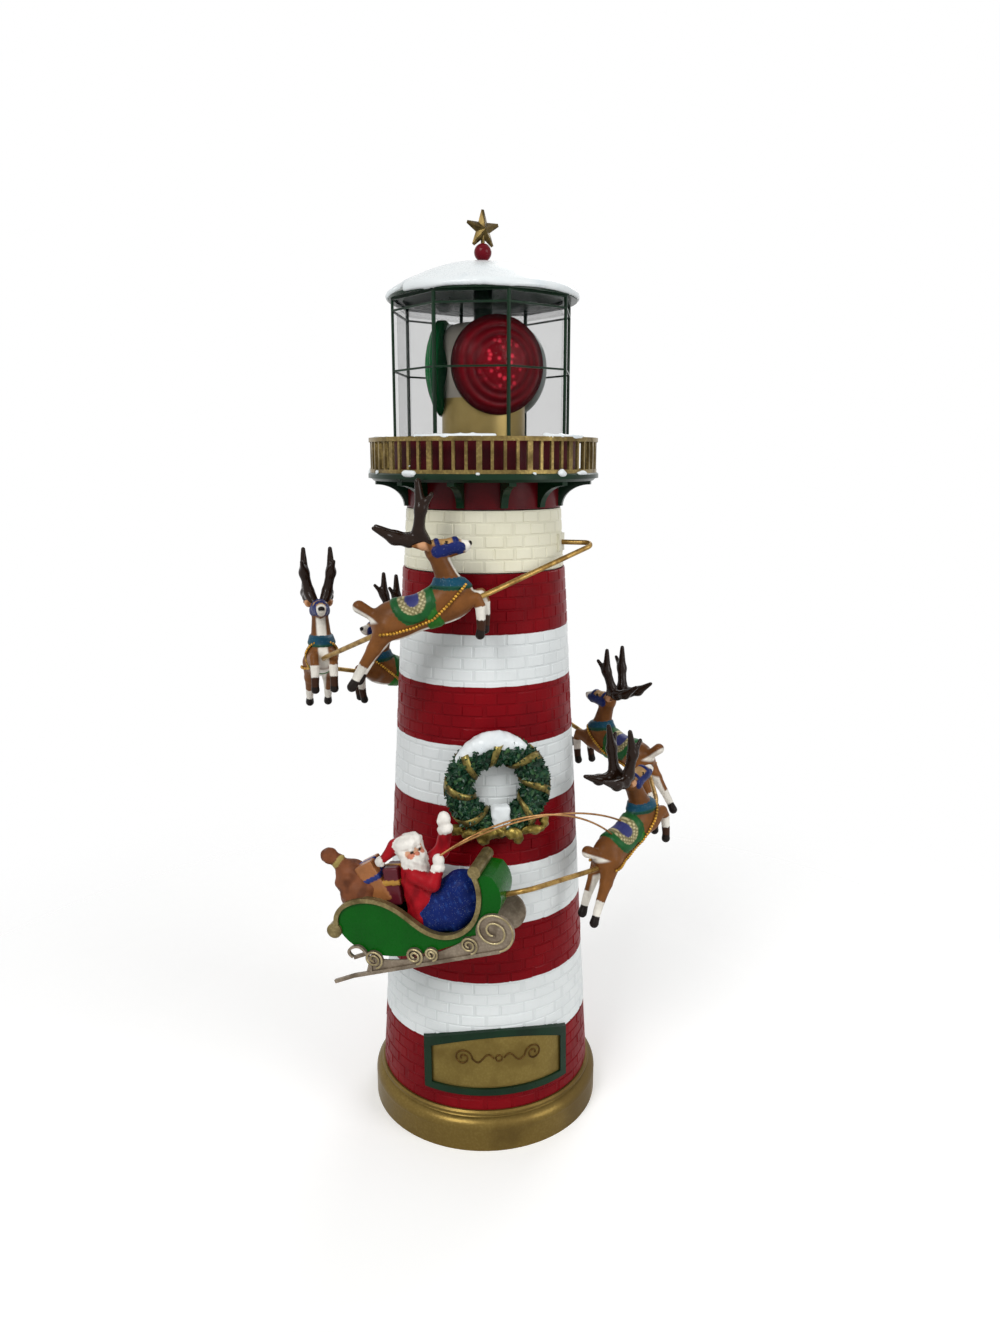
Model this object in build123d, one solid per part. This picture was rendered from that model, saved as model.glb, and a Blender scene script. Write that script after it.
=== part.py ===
from build123d import *
import math
import os

os.makedirs("parts", exist_ok=True)

# Lighted table lighthouse with a sleigh team that circles the tower.
# Millimetres, +Z up, origin at the middle of the underside, front of the tower towards -Y.
# Azimuths are degrees from the front, positive towards +X.

# Fits
fit_gap = 0.05
seat_gap = 0.1
running_gap = 0.3
cut_margin = 5.0

# Foot
plinth_radius = 57.0
plinth_side_height = 10.5
plinth_shoulder = 3.2
plinth_lip_radius = 54.2
plinth_lip_height = 2.4
plinth_height = 18.9
plinth_inner_radius = 47.5
spigot_height = 4.0
cover_thickness = 3.0
cover_land = 2.4
cover_screw_count = 4
cover_screw_azimuth = 45.0
cover_screw_radius = 1.5
cover_head_radius = 3.0
cover_head_height = 1.4
cover_head_recess = 0.4
cover_slot = 0.8
cover_screw_length = 9.0
boss_radius = 3.5
boss_height = 11.0
boss_root = 0.5
groove_step = 0.6
lip_chamfer = 0.8

# Inlet and switch at the back of the foot
control_height = 7.6
jack_azimuth = 155.0
jack_barrel_radius = 4.0
jack_bore_radius = 2.75
jack_bore_depth = 9.0
jack_pin_radius = 1.0
jack_pin_recess = 1.0
jack_standoff = 2.8
jack_body_size = 8.6
jack_recess = 0.6
switch_azimuth = 180.0
switch_travel = 1.5
switch_button_width = 3.0
switch_button_height = 3.0
switch_button_proud = 1.4
switch_button_chamfer = 0.4
switch_well_depth = 3.0
switch_body_width = 14.0
switch_body_depth = 7.0
switch_body_height = 7.0

# Tower
tower_base_radius = 52.5
tower_top_radius = 38.1
tower_top_z = 272.9
tower_wall = 2.5
rabbet_depth = 2.5
rabbet_wall = 1.3

# Plaque
plaque_low = 27.8
plaque_shoulder = 52.5
plaque_crown = 60.3
plaque_half_width = 34.5
plaque_border = 3.2
plaque_frame_thickness = 2.4
plaque_panel_thickness = 1.3

# Wreath
wreath_z = 178.6
wreath_ring_radius = 17.2
wreath_tube_radius = 6.6
wreath_standoff = 3.4
snow_pad_radius = 25.0
snow_pad_thickness = 4.2
snow_pad_lift = 0.8
bow_span = 44.0
bow_rise = 4.0
bow_knot_lift = 4.0
bow_end_lift = 0.6
bow_knot_size = (6.6, 7.4, 8.0)
bow_knot_round = 2.6
bow_root_offset = 5.0
bow_root_radius = 3.2
bow_lobe_radius = 4.6
bow_lobe_drop = 1.0
bow_tail_offset = 2.0
bow_tail_reach = 7.0
bow_tail_drop = 7.5
bow_tail_root_radius = 2.4
bow_tail_radius = 2.0

# Drive
gear_module = 1.0
pressure_angle = 20.0
ring_teeth = 62
pinion_teeth = 12
tooth_addendum = 0.8
tooth_dedendum = 1.15
tooth_backlash = 0.16
gear_width = 5.0
gear_lift = 1.6
motor_azimuth = 180.0
motor_radius = 10.0
motor_length = 32.0
motor_chamfer = 0.8
motor_shaft_radius = 1.5
motor_shaft_depth = 12.8
motor_bore_depth = 16.0
neck_radius = 27.5
neck_wall = 2.5
shoulder_radius = 29.3
shoulder_height = 2.2
collar_step = 0.6
collar_height = 26.8
collar_gap = 0.5
collar_cavity_radius = 33.0

# Lamp and beacon
lamp_tube_radius = 5.0
lamp_tube_wall = 1.4
hub_wall = 3.0
hub_clearance = 1.0
flange_margin = 2.0
lens_z = 362.5
lens_radius = 21.2
lens_plane = 21.0
lens_edge = 5.0
lens_bulge = 6.0
lens_window_radius = 13.0
red_lens_azimuth = 13.0
lens_count = 3
drum_radius = 19.0
drum_wall = 1.5
drum_top_z = 349.0
drum_floor = 1.8
drum_bead = 0.8
drum_bead_height = 2.4
housing_top_z = 381.5
housing_corner = 8.0
pivot_radius = 2.2
pivot_drop = 2.0
lamp_holder_radius = 6.5
lamp_holder_height = 8.0
lamp_holder_chamfer = 1.0
bulb_radius = 4.2
bulb_neck_radius = 3.0
bulb_neck_lift = 1.7
bulb_length = 15.0

# Gallery
corbel_height = 11.9
corbel_wall = 2.5
deck_radius = 53.2
deck_thickness = 3.6
deck_lip = 1.2
bracket_count = 12
bracket_azimuth = 7.0
bracket_thickness = 3.2
bracket_setback = 2.7
bracket_root = 2.0
bracket_foot = 1.6
bracket_lift = 0.6
rail_setback = 0.9
rail_width = 1.6
rail_height = 15.4
rail_low = 1.6
rail_cap = 1.9
rail_cap_overhang = 0.4
rail_joint = 0.1
baluster_count = 60
posts_every = 4
post_azimuth = -9.0
baluster_width = 1.3
baluster_inset = 0.2
post_width = 2.4
rail_snow_crown = 2.2
rail_snow_overhang = 0.8
rail_snow_drifts = ((-42.0, 42.0), (22.0, 30.0), (110.0, 36.0), (205.0, 50.0))
deck_chamfer = 0.6
neck_screw_count = 3
neck_screw_radius = 0.8
neck_head_radius = 1.7
neck_head_height = 1.2
neck_screw_length = 6.0

# Lantern and roof
lantern_sides = 8
lantern_azimuth = 8.0
lantern_radius = 41.0
lantern_wall = 1.5
lantern_height = 74.8
lantern_ceiling = 5.5
muntin_width = 1.5
muntin_bar = 0.8
muntin_depth = 0.9
midbar_height = 43.8
eave_radius = 42.3
eave_height = 1.4
roof_rise = 12.5
roof_wall = 2.0
roof_hollow_edge = 0.2
snow_thickness = 3.5
snow_edge = 2.6
snow_overhang = 1.0
snow_drip = 1.2
bare_rim_azimuth = -92.0
bare_rim_arc = 34.0
bare_rim_depth = 5.0
curb_wall = 1.2
curb_drop = 1.0
pin_radius = 4.2
pin_drop = 8.0

# Finial
ball_radius = 3.9
ball_sink = 0.15
star_radius = 8.3
star_waist = 0.45
star_half_depth = 2.6
star_points = 5
star_blunt = 4.5
star_turn = 21.0
star_lift = 13.3
finial_pin_radius = 0.9
finial_pin_root = 1.25

# Flight team: azimuth, distance from the axis, height, heading and climb of each figure
rod_radius = 1.15
rod_boss_width = 9.0
rod_boss_height = 8.0
rod_boss_proud = 1.2
rod_boss_root = 2.0
rod_azimuth = 64.4
rod_reach = 17.0
rod_plug = 8.0
rod_lift = 2.6
rod_bend = 24.0
rod_elbow_bend = 3.0
deer_half_run = 23.0
deer_places = {
    "reindeer_1": (-29.4, 59.9, 257.8, -5.0, 19.4),
    "reindeer_2": (-104.0, 81.1, 223.9, -84.0, 16.8),
    "reindeer_3": (-150.0, 82.0, 205.0, -150.0, 13.0),
    "reindeer_4": (-197.0, 82.0, 188.0, -197.0, 13.0),
    "reindeer_5": (-243.8, 85.0, 167.0, -233.7, 13.0),
    "reindeer_6": (-297.1, 74.0, 146.0, -325.5, 25.5),
}
sleigh_place = (-18.0, 70.5, 122.5, -22.0, 17.0)

# Reindeer along +X about the rod: trunk rings as x, z, half width and half height
deer_trunk = [
    (-25.0, 6.0, 1.8, 2.4),
    (-22.5, 5.0, 5.0, 6.0),
    (-15.0, 3.4, 6.8, 8.4),
    (-4.0, 2.2, 6.0, 7.6),
    (8.0, 2.6, 6.6, 8.6),
    (16.0, 3.6, 5.8, 7.8),
    (20.5, 4.4, 3.2, 4.8),
]
deer_stride = 1.2

# Joints as x, y, z and radius, with the limbs that run between them.
# A limb's far end is this share of the joint's radius, so that the next limb's start covers it.
knuckle_share = 0.96
deer_head = {
    "neck_root": (12.6, 0.0, 8.0, 5.4),
    "neck_top": (11.6, 0.0, 23.0, 3.9),
    "poll": (11.2, 0.0, 25.4, 4.3),
    "brow": (19.0, 0.0, 24.2, 3.4),
    "muzzle": (25.0, 0.0, 22.4, 2.2),
    "dock": (-23.0, 0.0, 8.4, 2.6),
    "tail": (-26.8, 0.0, 13.4, 2.8),
}
deer_head_limbs = [("neck_root", "neck_top"), ("poll", "brow"), ("brow", "muzzle"), ("dock", "tail")]
deer_leg = {
    "shoulder": (14.0, 3.4, 0.5, 4.0),
    "knee": (23.0, 4.2, 0.7, 2.3),
    "pastern": (20.0, 4.4, -10.2, 1.6),
    "hoof": (18.4, 4.4, -14.4, 2.1),
    "hip": (-17.0, 3.4, 2.0, 5.2),
    "stifle": (-27.0, 4.6, -6.0, 2.7),
    "hock": (-35.0, 4.7, -12.2, 1.65),
    "rear_hoof": (-40.0, 4.7, -17.0, 2.1),
    "ear_root": (9.4, 2.6, 27.6, 1.5),
    "ear_tip": (5.4, 6.4, 30.2, 0.8),
}
deer_leg_limbs = [
    ("shoulder", "knee"),
    ("knee", "pastern"),
    ("pastern", "hoof"),
    ("hip", "stifle"),
    ("stifle", "hock"),
    ("hock", "rear_hoof"),
    ("ear_root", "ear_tip"),
]
deer_horn = {
    "burr": (9.6, 1.9, 28.0, 2.0),
    "fork": (7.6, 4.4, 34.4, 2.3),
    "beam": (11.8, 6.4, 43.0, 2.2),
    "beam_tip": (14.5, 6.4, 54.0, 1.1),
    "back_root": (8.2, 3.6, 31.6, 2.1),
    "back_bend": (0.6, 5.2, 34.2, 2.5),
    "back_tip": (-8.6, 6.0, 42.0, 1.1),
    "fore_root": (11.6, 6.3, 42.0, 1.5),
    "fore_tip": (18.0, 7.6, 47.0, 0.9),
}
deer_horn_limbs = [
    ("burr", "fork"),
    ("fork", "beam"),
    ("beam", "beam_tip"),
    ("back_root", "back_bend"),
    ("back_bend", "back_tip"),
    ("fore_root", "fore_tip"),
]

# Sleigh
sleigh_width = 20.0
sleigh_wall = 1.6
trim_width = 2.0
trim_proud = 1.2
runner_plate = 0.8
runner_relief = 0.7
runner_gap = 0.2
scroll_line = 1.1
scroll_shrink = 0.22
scroll_turns = 4
runner_line = 1.6
hitch_place = (27.2, 10.0)
hitch_run = 10.8
wire_radius = 0.5
wire_bend = 60.0
wire_hand = (4.9, -5.6, 34.7)
wire_hand_gap = 1.2
wire_back = (-4.0, 9.6)
wire_spread = 3.0
wire_arch = 15.0
wire_bulge = 8.0
wire_rise_share = 0.3
wire_fall_share = 0.68
wire_fall_lift = 0.9

# Inner lead: azimuth, distance and height of its bends
lead_radius = 1.2
lead_bend = 30.0
lead_foot_turn = 6.0
lead_side_turn = 40.0
lead_foot_distance = 30.0
lead_foot_rise = 10.0
lead_side_distance = 28.0
lead_side_rise = 40.0
lead_top_distance = 24.0

# Derived places
cover_radius = plinth_inner_radius + cover_land - seat_gap
boss_place = plinth_inner_radius - boss_radius + boss_root
tower_slope = (tower_base_radius - tower_top_radius) / (tower_top_z - plinth_height)
spigot_radius = tower_base_radius - tower_slope * spigot_height - tower_wall - seat_gap
rabbet_radius = tower_top_radius - rabbet_wall
collar_low = tower_top_z + collar_gap
collar_high = collar_low + collar_height
corbel_low = collar_high + collar_gap
deck_low = corbel_low + corbel_height
deck_high = deck_low + deck_thickness
rail_radius = deck_radius - rail_setback
bracket_reach = deck_radius - bracket_setback
lantern_top = deck_high + lantern_height
ceiling_z = lantern_top - lantern_ceiling
roof_top = lantern_top + eave_height + roof_rise
snow_top = roof_top + snow_thickness
ball_z = snow_top + ball_radius - ball_sink
star_z = snow_top + star_lift
sun_teeth = ring_teeth - 2 * pinion_teeth
pinion_place = gear_module * (sun_teeth + pinion_teeth) / 2
gear_low = tower_top_z + gear_lift
gear_high = gear_low + gear_width
shoulder_low = gear_high + running_gap
web_low = shoulder_low + shoulder_height + running_gap
hub_radius = lamp_tube_radius + hub_wall
drum_low = deck_high + running_gap + drum_floor
lamp_tube_top = lens_z - lamp_holder_height - bulb_length / 2 + bulb_radius
glass_apothem = lantern_radius * math.cos(math.pi / lantern_sides)
rod_z = web_low + rod_lift


# Helpers
def tower_radius(z):
    return tower_base_radius - tower_slope * (z - plinth_height)


def polar(azimuth, distance, z):
    turn = math.radians(azimuth)
    return Vector(distance * math.sin(turn), -distance * math.cos(turn), z)


def turned(*outline):
    return revolve(Plane.XZ * make_face(Polyline(*outline, close=True)), axis=Axis.Z)


def tube(outer, inner, low, high):
    return turned((inner, low), (outer, low), (outer, high), (inner, high))


def post(radius, low, high):
    return Pos(0, 0, (low + high) / 2) * Cylinder(radius, high - low)


def block(x0, x1, y0, y1, z0, z1):
    return Pos((x0 + x1) / 2, (y0 + y1) / 2, (z0 + z1) / 2) * Box(x1 - x0, y1 - y0, z1 - z0)


def around(count, part, start=0.0):
    return [Rot(0, 0, start + 360 * k / count) * part for k in range(count)]


def outward_bar(radius, near, far, z):
    middle = (near + far) / 2
    return Pos(0, -middle, z) * Rot(90, 0, 0) * Cylinder(radius, far - near)


def tower_skin(low, high, inner, outer):
    return turned(
        (tower_radius(low) + inner, low),
        (tower_radius(low) + outer, low),
        (tower_radius(high) + outer, high),
        (tower_radius(high) + inner, high),
    )


def limb(start, end, start_radius, end_radius):
    """Tapered limb with round ends, turned about the line from start to end."""
    a = Vector(*start)
    run = Vector(*end) - a
    length = run.length
    lean = math.asin((start_radius - end_radius) / length)
    s, c = math.sin(lean), math.cos(lean)
    back = math.radians(135) - lean / 2
    front = math.radians(45) - lean / 2
    p0 = (-start_radius, 0)
    m0 = (start_radius * math.cos(back), start_radius * math.sin(back))
    p1 = (start_radius * s, start_radius * c)
    p2 = (length + end_radius * s, end_radius * c)
    m2 = (length + end_radius * math.cos(front), end_radius * math.sin(front))
    p3 = (length + end_radius, 0)
    outline = [ThreePointArc(p0, m0, p1), Line(p1, p2), ThreePointArc(p2, m2, p3), Line(p3, p0)]
    side = Vector(0, 1, 0) if abs(run.Y) < 0.9 * length else Vector(0, 0, 1)
    plane = Plane(origin=a, x_dir=run, z_dir=run.cross(side))
    return revolve(plane * make_face(Curve() + outline), axis=Axis(a, run))


def heading_plane(place):
    azimuth, distance, z, heading, climb = place
    yaw, pitch = math.radians(heading), math.radians(climb)
    flat = Vector(math.cos(yaw), math.sin(yaw), 0)
    forward = flat * math.cos(pitch) + Vector(0, 0, math.sin(pitch))
    upward = flat * -math.sin(pitch) + Vector(0, 0, math.cos(pitch))
    return Plane(origin=polar(azimuth, distance, z), x_dir=forward, z_dir=upward)


def gear_outline(teeth, addendum, dedendum, slack):
    """Involute gear face about the origin with one tooth on the +X axis."""
    pitch = gear_module * teeth / 2
    alpha = math.radians(pressure_angle)
    base = pitch * math.cos(alpha)
    low, high = pitch - dedendum, pitch + addendum
    half_at_pitch = (math.pi * gear_module / 2 - slack) / (2 * pitch)

    def half_angle(radius):
        local = math.acos(min(1.0, base / max(radius, base)))
        return half_at_pitch + math.tan(alpha) - alpha - math.tan(local) + local

    def spot(radius, angle):
        return (radius * math.cos(angle), radius * math.sin(angle))

    levels = [low, max(low, base) + 0.15 * (high - low), pitch, high]
    points = []
    for k in range(teeth):
        middle = 2 * math.pi * k / teeth
        points += [spot(r, middle - half_angle(r)) for r in levels]
        points += [spot(r, middle + half_angle(r)) for r in reversed(levels)]
    return make_face(Polyline(*points, close=True))


def cap_arc(radius, edge, crown):
    """Arc of a round cap from its edge up to the axis."""
    rise = crown - edge
    ball = (radius**2 + rise**2) / (2 * rise)
    half = math.asin(radius / ball) / 2
    middle = (ball * math.sin(half), crown - ball + ball * math.cos(half))
    return ThreePointArc((radius, edge), middle, (0, crown))


parts = {}


# Foot
def make_plinth():
    side = plinth_side_height
    shoulder_in = plinth_radius - plinth_shoulder
    groove = plinth_height - plinth_lip_height - groove_step
    land = plinth_inner_radius + cover_land
    outline = Curve() + [
        Polyline((plinth_inner_radius, cover_thickness), (land, cover_thickness), (land, 0)),
        Polyline((land, 0), (plinth_radius, 0), (plinth_radius, side)),
        ThreePointArc(
            (plinth_radius, side),
            (plinth_radius - 0.3 * plinth_shoulder, side + 0.7 * (groove - side)),
            (shoulder_in, groove),
        ),
        Polyline(
            (shoulder_in, groove),
            (shoulder_in - groove_step, groove + groove_step),
            (plinth_lip_radius, groove + 2 * groove_step),
            (plinth_lip_radius, plinth_height - lip_chamfer),
            (plinth_lip_radius - lip_chamfer, plinth_height),
            (spigot_radius, plinth_height),
            (spigot_radius, plinth_height + spigot_height),
            (plinth_inner_radius, plinth_height + spigot_height),
            (plinth_inner_radius, cover_thickness),
        ),
    ]
    body = revolve(Plane.XZ * make_face(outline), axis=Axis.Z)
    boss = Pos(0, -boss_place, 0) * post(boss_radius, cover_thickness, cover_thickness + boss_height)
    body = body + around(cover_screw_count, boss, cover_screw_azimuth)
    body -= around(cover_screw_count, screw_shank(fit_gap), cover_screw_azimuth)
    inside, outside = plinth_inner_radius - cut_margin, plinth_radius + cut_margin
    jack_hole = outward_bar(jack_barrel_radius + seat_gap, inside, outside, control_height)
    body -= Rot(0, 0, jack_azimuth) * jack_hole
    slot_x = switch_button_width / 2 + switch_travel + running_gap
    slot_z = switch_button_height / 2 + running_gap
    slot = block(-slot_x, slot_x, -outside, -inside, control_height - slot_z, control_height + slot_z)
    return body - Rot(0, 0, switch_azimuth) * slot


def screw_shank(extra):
    low = cover_head_height
    return Pos(0, -boss_place, 0) * post(cover_screw_radius + extra, low, low + cover_screw_length)


def make_cover():
    cover = post(cover_radius, 0, cover_thickness)
    head = Pos(0, -boss_place, 0) * post(cover_head_radius + seat_gap, -cut_margin, cover_head_height)
    cover -= around(cover_screw_count, head, cover_screw_azimuth)
    cover -= around(cover_screw_count, screw_shank(seat_gap), cover_screw_azimuth)
    return cover


def make_cover_screws():
    head = Pos(0, -boss_place, 0) * post(cover_head_radius, cover_head_recess, cover_head_height)
    slot = Pos(0, -boss_place, cover_head_recess) * Box(2 * cover_head_radius, cover_slot, cover_slot)
    return around(cover_screw_count, head + screw_shank(0) - slot, cover_screw_azimuth)


def wall_face(width):
    """Distance at which a flat face of this width meets the foot's inner wall."""
    return math.sqrt(plinth_inner_radius**2 - (width / 2) ** 2) - seat_gap


def make_jack():
    front = plinth_radius - jack_recess
    rear = wall_face(jack_body_size) - jack_standoff
    body = outward_bar(jack_barrel_radius, rear, front, control_height)
    body -= outward_bar(jack_bore_radius, front - jack_bore_depth, front + cut_margin, control_height)
    body += outward_bar(jack_pin_radius, rear, front - jack_pin_recess, control_height)
    half = jack_body_size / 2
    case = block(-half, half, -rear, -rear + jack_body_size, control_height - half, control_height + half)
    return Rot(0, 0, jack_azimuth) * (body + case)


def make_switch_body():
    half_w, half_h = switch_body_width / 2, switch_body_height / 2
    front = wall_face(switch_body_width)
    low, high = control_height - half_h, control_height + half_h
    case = block(-half_w, half_w, -front, -front + switch_body_depth, low, high)
    well_x = switch_button_width / 2 + switch_travel + running_gap
    well_z = switch_button_height / 2 + running_gap
    low, high = control_height - well_z, control_height + well_z
    well = block(-well_x, well_x, -front - cut_margin, -front + switch_well_depth, low, high)
    return Rot(0, 0, switch_azimuth) * (case - well)


def make_switch_slider():
    half_w, half_h = switch_button_width / 2, switch_button_height / 2
    front = plinth_radius + switch_button_proud
    rear = wall_face(switch_body_width) - switch_well_depth + running_gap
    button = block(-half_w, half_w, -front, -rear, control_height - half_h, control_height + half_h)
    button = chamfer(button.faces().sort_by(Axis.Y)[0].edges(), switch_button_chamfer)
    return Rot(0, 0, switch_azimuth) * button


parts["base_plinth"] = make_plinth()
parts["bottom_cover"] = make_cover()
parts["cover_screws"] = make_cover_screws()
parts["power_jack"] = make_jack()
parts["switch_body"] = make_switch_body()
parts["switch_slider"] = make_switch_slider()


# Tower
def make_tower():
    step = tower_top_z - rabbet_depth
    inner_top = tower_radius(step) - tower_wall
    return turned(
        (tower_base_radius - tower_wall, plinth_height),
        (tower_base_radius, plinth_height),
        (tower_top_radius, tower_top_z),
        (rabbet_radius, tower_top_z),
        (rabbet_radius, step),
        (inner_top, step),
    )


def plaque_outline(inset):
    half = plaque_half_width - inset
    low = plaque_low + inset
    side = plaque_shoulder - inset
    crown = plaque_crown - inset
    outline = Curve() + [
        Polyline((-half, side), (-half, low), (half, low), (half, side)),
        ThreePointArc((half, side), (0, crown), (-half, side)),
    ]
    return extrude(Plane.XZ * make_face(outline), amount=2 * plinth_radius)


def make_plaque():
    low, high = plaque_low - cut_margin, plaque_crown + cut_margin
    rim = plaque_outline(0) - plaque_outline(plaque_border)
    frame = tower_skin(low, high, 0, plaque_frame_thickness) & rim
    panel = tower_skin(low, high, 0, plaque_panel_thickness) & plaque_outline(plaque_border + seat_gap)
    return frame, panel


def front_disc(radius, z):
    return Pos(0, -plinth_radius, z) * Rot(90, 0, 0) * Cylinder(radius, 2 * plinth_radius)


def make_wreath():
    reach = 2 * snow_pad_radius
    outside = tower_skin(wreath_z - reach, wreath_z + reach, 0, reach)
    place = tower_radius(wreath_z) + wreath_standoff
    ring = Pos(0, -place, wreath_z) * Rot(90, 0, 0) * Torus(wreath_ring_radius, wreath_tube_radius)
    knot_y, end_y = -place - bow_knot_lift, -place - bow_end_lift
    knot_z = wreath_z - wreath_ring_radius - wreath_tube_radius + bow_rise
    bow = Pos(0, knot_y, knot_z) * Box(*bow_knot_size)
    bow = fillet(bow.edges(), bow_knot_round)
    for side in (-1, 1):
        root = (side * bow_root_offset, knot_y, knot_z)
        end = (side * (bow_span / 2 - bow_lobe_radius), end_y, knot_z - bow_lobe_drop)
        tail_root = (side * bow_tail_offset, knot_y, knot_z - bow_tail_offset)
        tail_end = (side * bow_tail_reach, end_y, knot_z - bow_tail_drop)
        bow = bow + limb(root, end, bow_root_radius, bow_lobe_radius)
        bow = bow + limb(tail_root, tail_end, bow_tail_root_radius, bow_tail_radius)
    ring = (ring - bow) & outside
    pad = tower_skin(wreath_z - snow_pad_radius, wreath_z + snow_pad_radius, 0, snow_pad_thickness)
    pad = pad & front_disc(snow_pad_radius, wreath_z + snow_pad_lift)
    return ring, bow, pad - ring - bow


parts["tower_shell"] = make_tower()
parts["plaque_frame"], parts["plaque_panel"] = make_plaque()
parts["wreath"], parts["wreath_bow"], parts["wreath_snow"] = make_wreath()


# Drive inside the tower top
def gear_place():
    return polar(motor_azimuth, pinion_place, 0)


def gear_turn():
    return motor_azimuth - 90


def make_drive_deck():
    deck = post(rabbet_radius - seat_gap, tower_top_z - rabbet_depth, tower_top_z)
    neck = tube(neck_radius, neck_radius - neck_wall, tower_top_z, corbel_low)
    shoulder = tube(shoulder_radius, neck_radius, shoulder_low, shoulder_low + shoulder_height)
    boss = post(hub_radius, tower_top_z, gear_low - running_gap)
    deck = deck + [neck, shoulder, boss]
    pinion_room = gear_module * pinion_teeth / 2 + tooth_addendum + running_gap
    window = post(pinion_room, tower_top_z, gear_high + 2 * running_gap)
    deck -= Pos(*gear_place()) * window
    deck -= post(lamp_tube_radius, tower_top_z - cut_margin, corbel_low)
    shaft_hole = post(motor_shaft_radius + running_gap, tower_top_z - cut_margin, tower_top_z + cut_margin)
    deck -= Pos(*gear_place()) * shaft_hole
    deck -= around(neck_screw_count, neck_screw(fit_gap), 0)
    return deck


def neck_screw(extra):
    place = neck_radius - neck_wall / 2
    top = corbel_low + corbel_wall
    return Pos(0, -place, 0) * post(neck_screw_radius + extra, top - neck_screw_length, top)


def make_neck_screws():
    place = neck_radius - neck_wall / 2
    top = corbel_low + corbel_wall
    head = Pos(0, -place, 0) * post(neck_head_radius, top, top + neck_head_height)
    return around(neck_screw_count, head + neck_screw(0), 0)


def make_motor():
    top = tower_top_z - rabbet_depth
    can = post(motor_radius, top - motor_length, top)
    can = chamfer(can.edges().filter_by(GeomType.CIRCLE), motor_chamfer)
    can -= post(motor_shaft_radius + fit_gap, top - motor_bore_depth, top + cut_margin)
    return Pos(*gear_place()) * can


def make_pinion():
    wheel = extrude(gear_outline(pinion_teeth, tooth_addendum, tooth_dedendum, tooth_backlash), gear_width)
    wheel = Rot(0, 0, gear_turn() + 180 / pinion_teeth) * Pos(0, 0, gear_low) * wheel
    shaft = post(motor_shaft_radius, tower_top_z - rabbet_depth - motor_shaft_depth, gear_high)
    return Pos(*gear_place()) * (wheel + shaft)


def make_collar():
    skin = turned(
        (neck_radius + fit_gap, collar_low),
        (tower_radius(collar_low) - collar_step, collar_low),
        (tower_radius(collar_high) - collar_step, collar_high),
        (neck_radius + fit_gap, collar_high),
    )
    space = gear_outline(ring_teeth, tooth_dedendum, tooth_addendum, -tooth_backlash)
    space = extrude(space, gear_high + running_gap - collar_low + cut_margin)
    space = Rot(0, 0, gear_turn() + 180 / ring_teeth) * Pos(0, 0, collar_low - cut_margin) * space
    skin -= space
    skin -= post(collar_cavity_radius, gear_high, web_low)
    outer, half = tower_radius(rod_z) - collar_step, rod_boss_width / 2
    near, far = outer - rod_boss_root, outer + rod_boss_proud
    rise = rod_boss_height / 2
    skin += Rot(0, 0, rod_azimuth) * block(-half, half, -far, -near, rod_z - rise, rod_z + rise)
    rod_hole = outward_bar(rod_radius + fit_gap, tower_radius(rod_z) - rod_plug, plinth_radius, rod_z)
    return skin - Rot(0, 0, rod_azimuth) * rod_hole


parts["drive_deck"] = make_drive_deck()
parts["neck_screws"] = make_neck_screws()
parts["gear_motor"] = make_motor()
parts["motor_pinion"] = make_pinion()
parts["flight_collar"] = make_collar()


# Beacon
def make_beacon_gear():
    wheel = extrude(gear_outline(sun_teeth, tooth_addendum, tooth_dedendum, tooth_backlash), gear_width)
    wheel = Rot(0, 0, gear_turn()) * Pos(0, 0, gear_low) * wheel
    hub = post(hub_radius, gear_low, drum_low)
    flange = post(drum_radius - drum_wall - flange_margin, drum_low - drum_floor, drum_low)
    bore = post(lamp_tube_radius + fit_gap, gear_low - cut_margin, drum_low + cut_margin)
    return wheel + [hub, flange] - bore


def make_drum():
    floor = tube(drum_radius, hub_radius + hub_clearance, drum_low, drum_low + drum_floor)
    wall = tube(drum_radius, drum_radius - drum_wall, drum_low, drum_top_z)
    bead = tube(drum_radius + drum_bead, drum_radius - drum_wall, drum_low, drum_low + drum_bead_height)
    return floor + [wall, bead]


def make_housing():
    def cup(radius, low, high, corner):
        outline = Curve() + [
            Polyline((0, high), (0, low), (radius, low), (radius, high - corner)),
            RadiusArc((radius, high - corner), (radius - corner, high), -corner),
            Line((radius - corner, high), (0, high)),
        ]
        return revolve(Plane.XZ * make_face(outline), axis=Axis.Z)

    shell = cup(drum_radius, drum_top_z, housing_top_z, housing_corner)
    inner, inner_top = drum_radius - drum_wall, housing_top_z - drum_wall
    shell -= cup(inner, drum_top_z - cut_margin, inner_top, housing_corner - drum_wall)
    window = outward_bar(lens_window_radius, 0, drum_radius + cut_margin, lens_z)
    shell -= around(lens_count, window, red_lens_azimuth)
    return shell + post(pivot_radius, housing_top_z - drum_wall, lantern_top - pivot_drop)


def make_lens(azimuth):
    back = lens_plane - lens_edge
    apex = lens_plane + lens_bulge
    outline = Curve() + [
        Polyline((0, apex), (0, back), (lens_radius, back), (lens_radius, lens_plane)),
        cap_arc(lens_radius, lens_plane, apex),
    ]
    disc = revolve(Plane.XZ * make_face(outline), axis=Axis.Z)
    disc = Pos(0, 0, lens_z) * Rot(90, 0, 0) * disc
    disc -= post(drum_radius + fit_gap, lens_z - 2 * lens_radius, lens_z + 2 * lens_radius)
    return Rot(0, 0, azimuth) * disc


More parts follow.
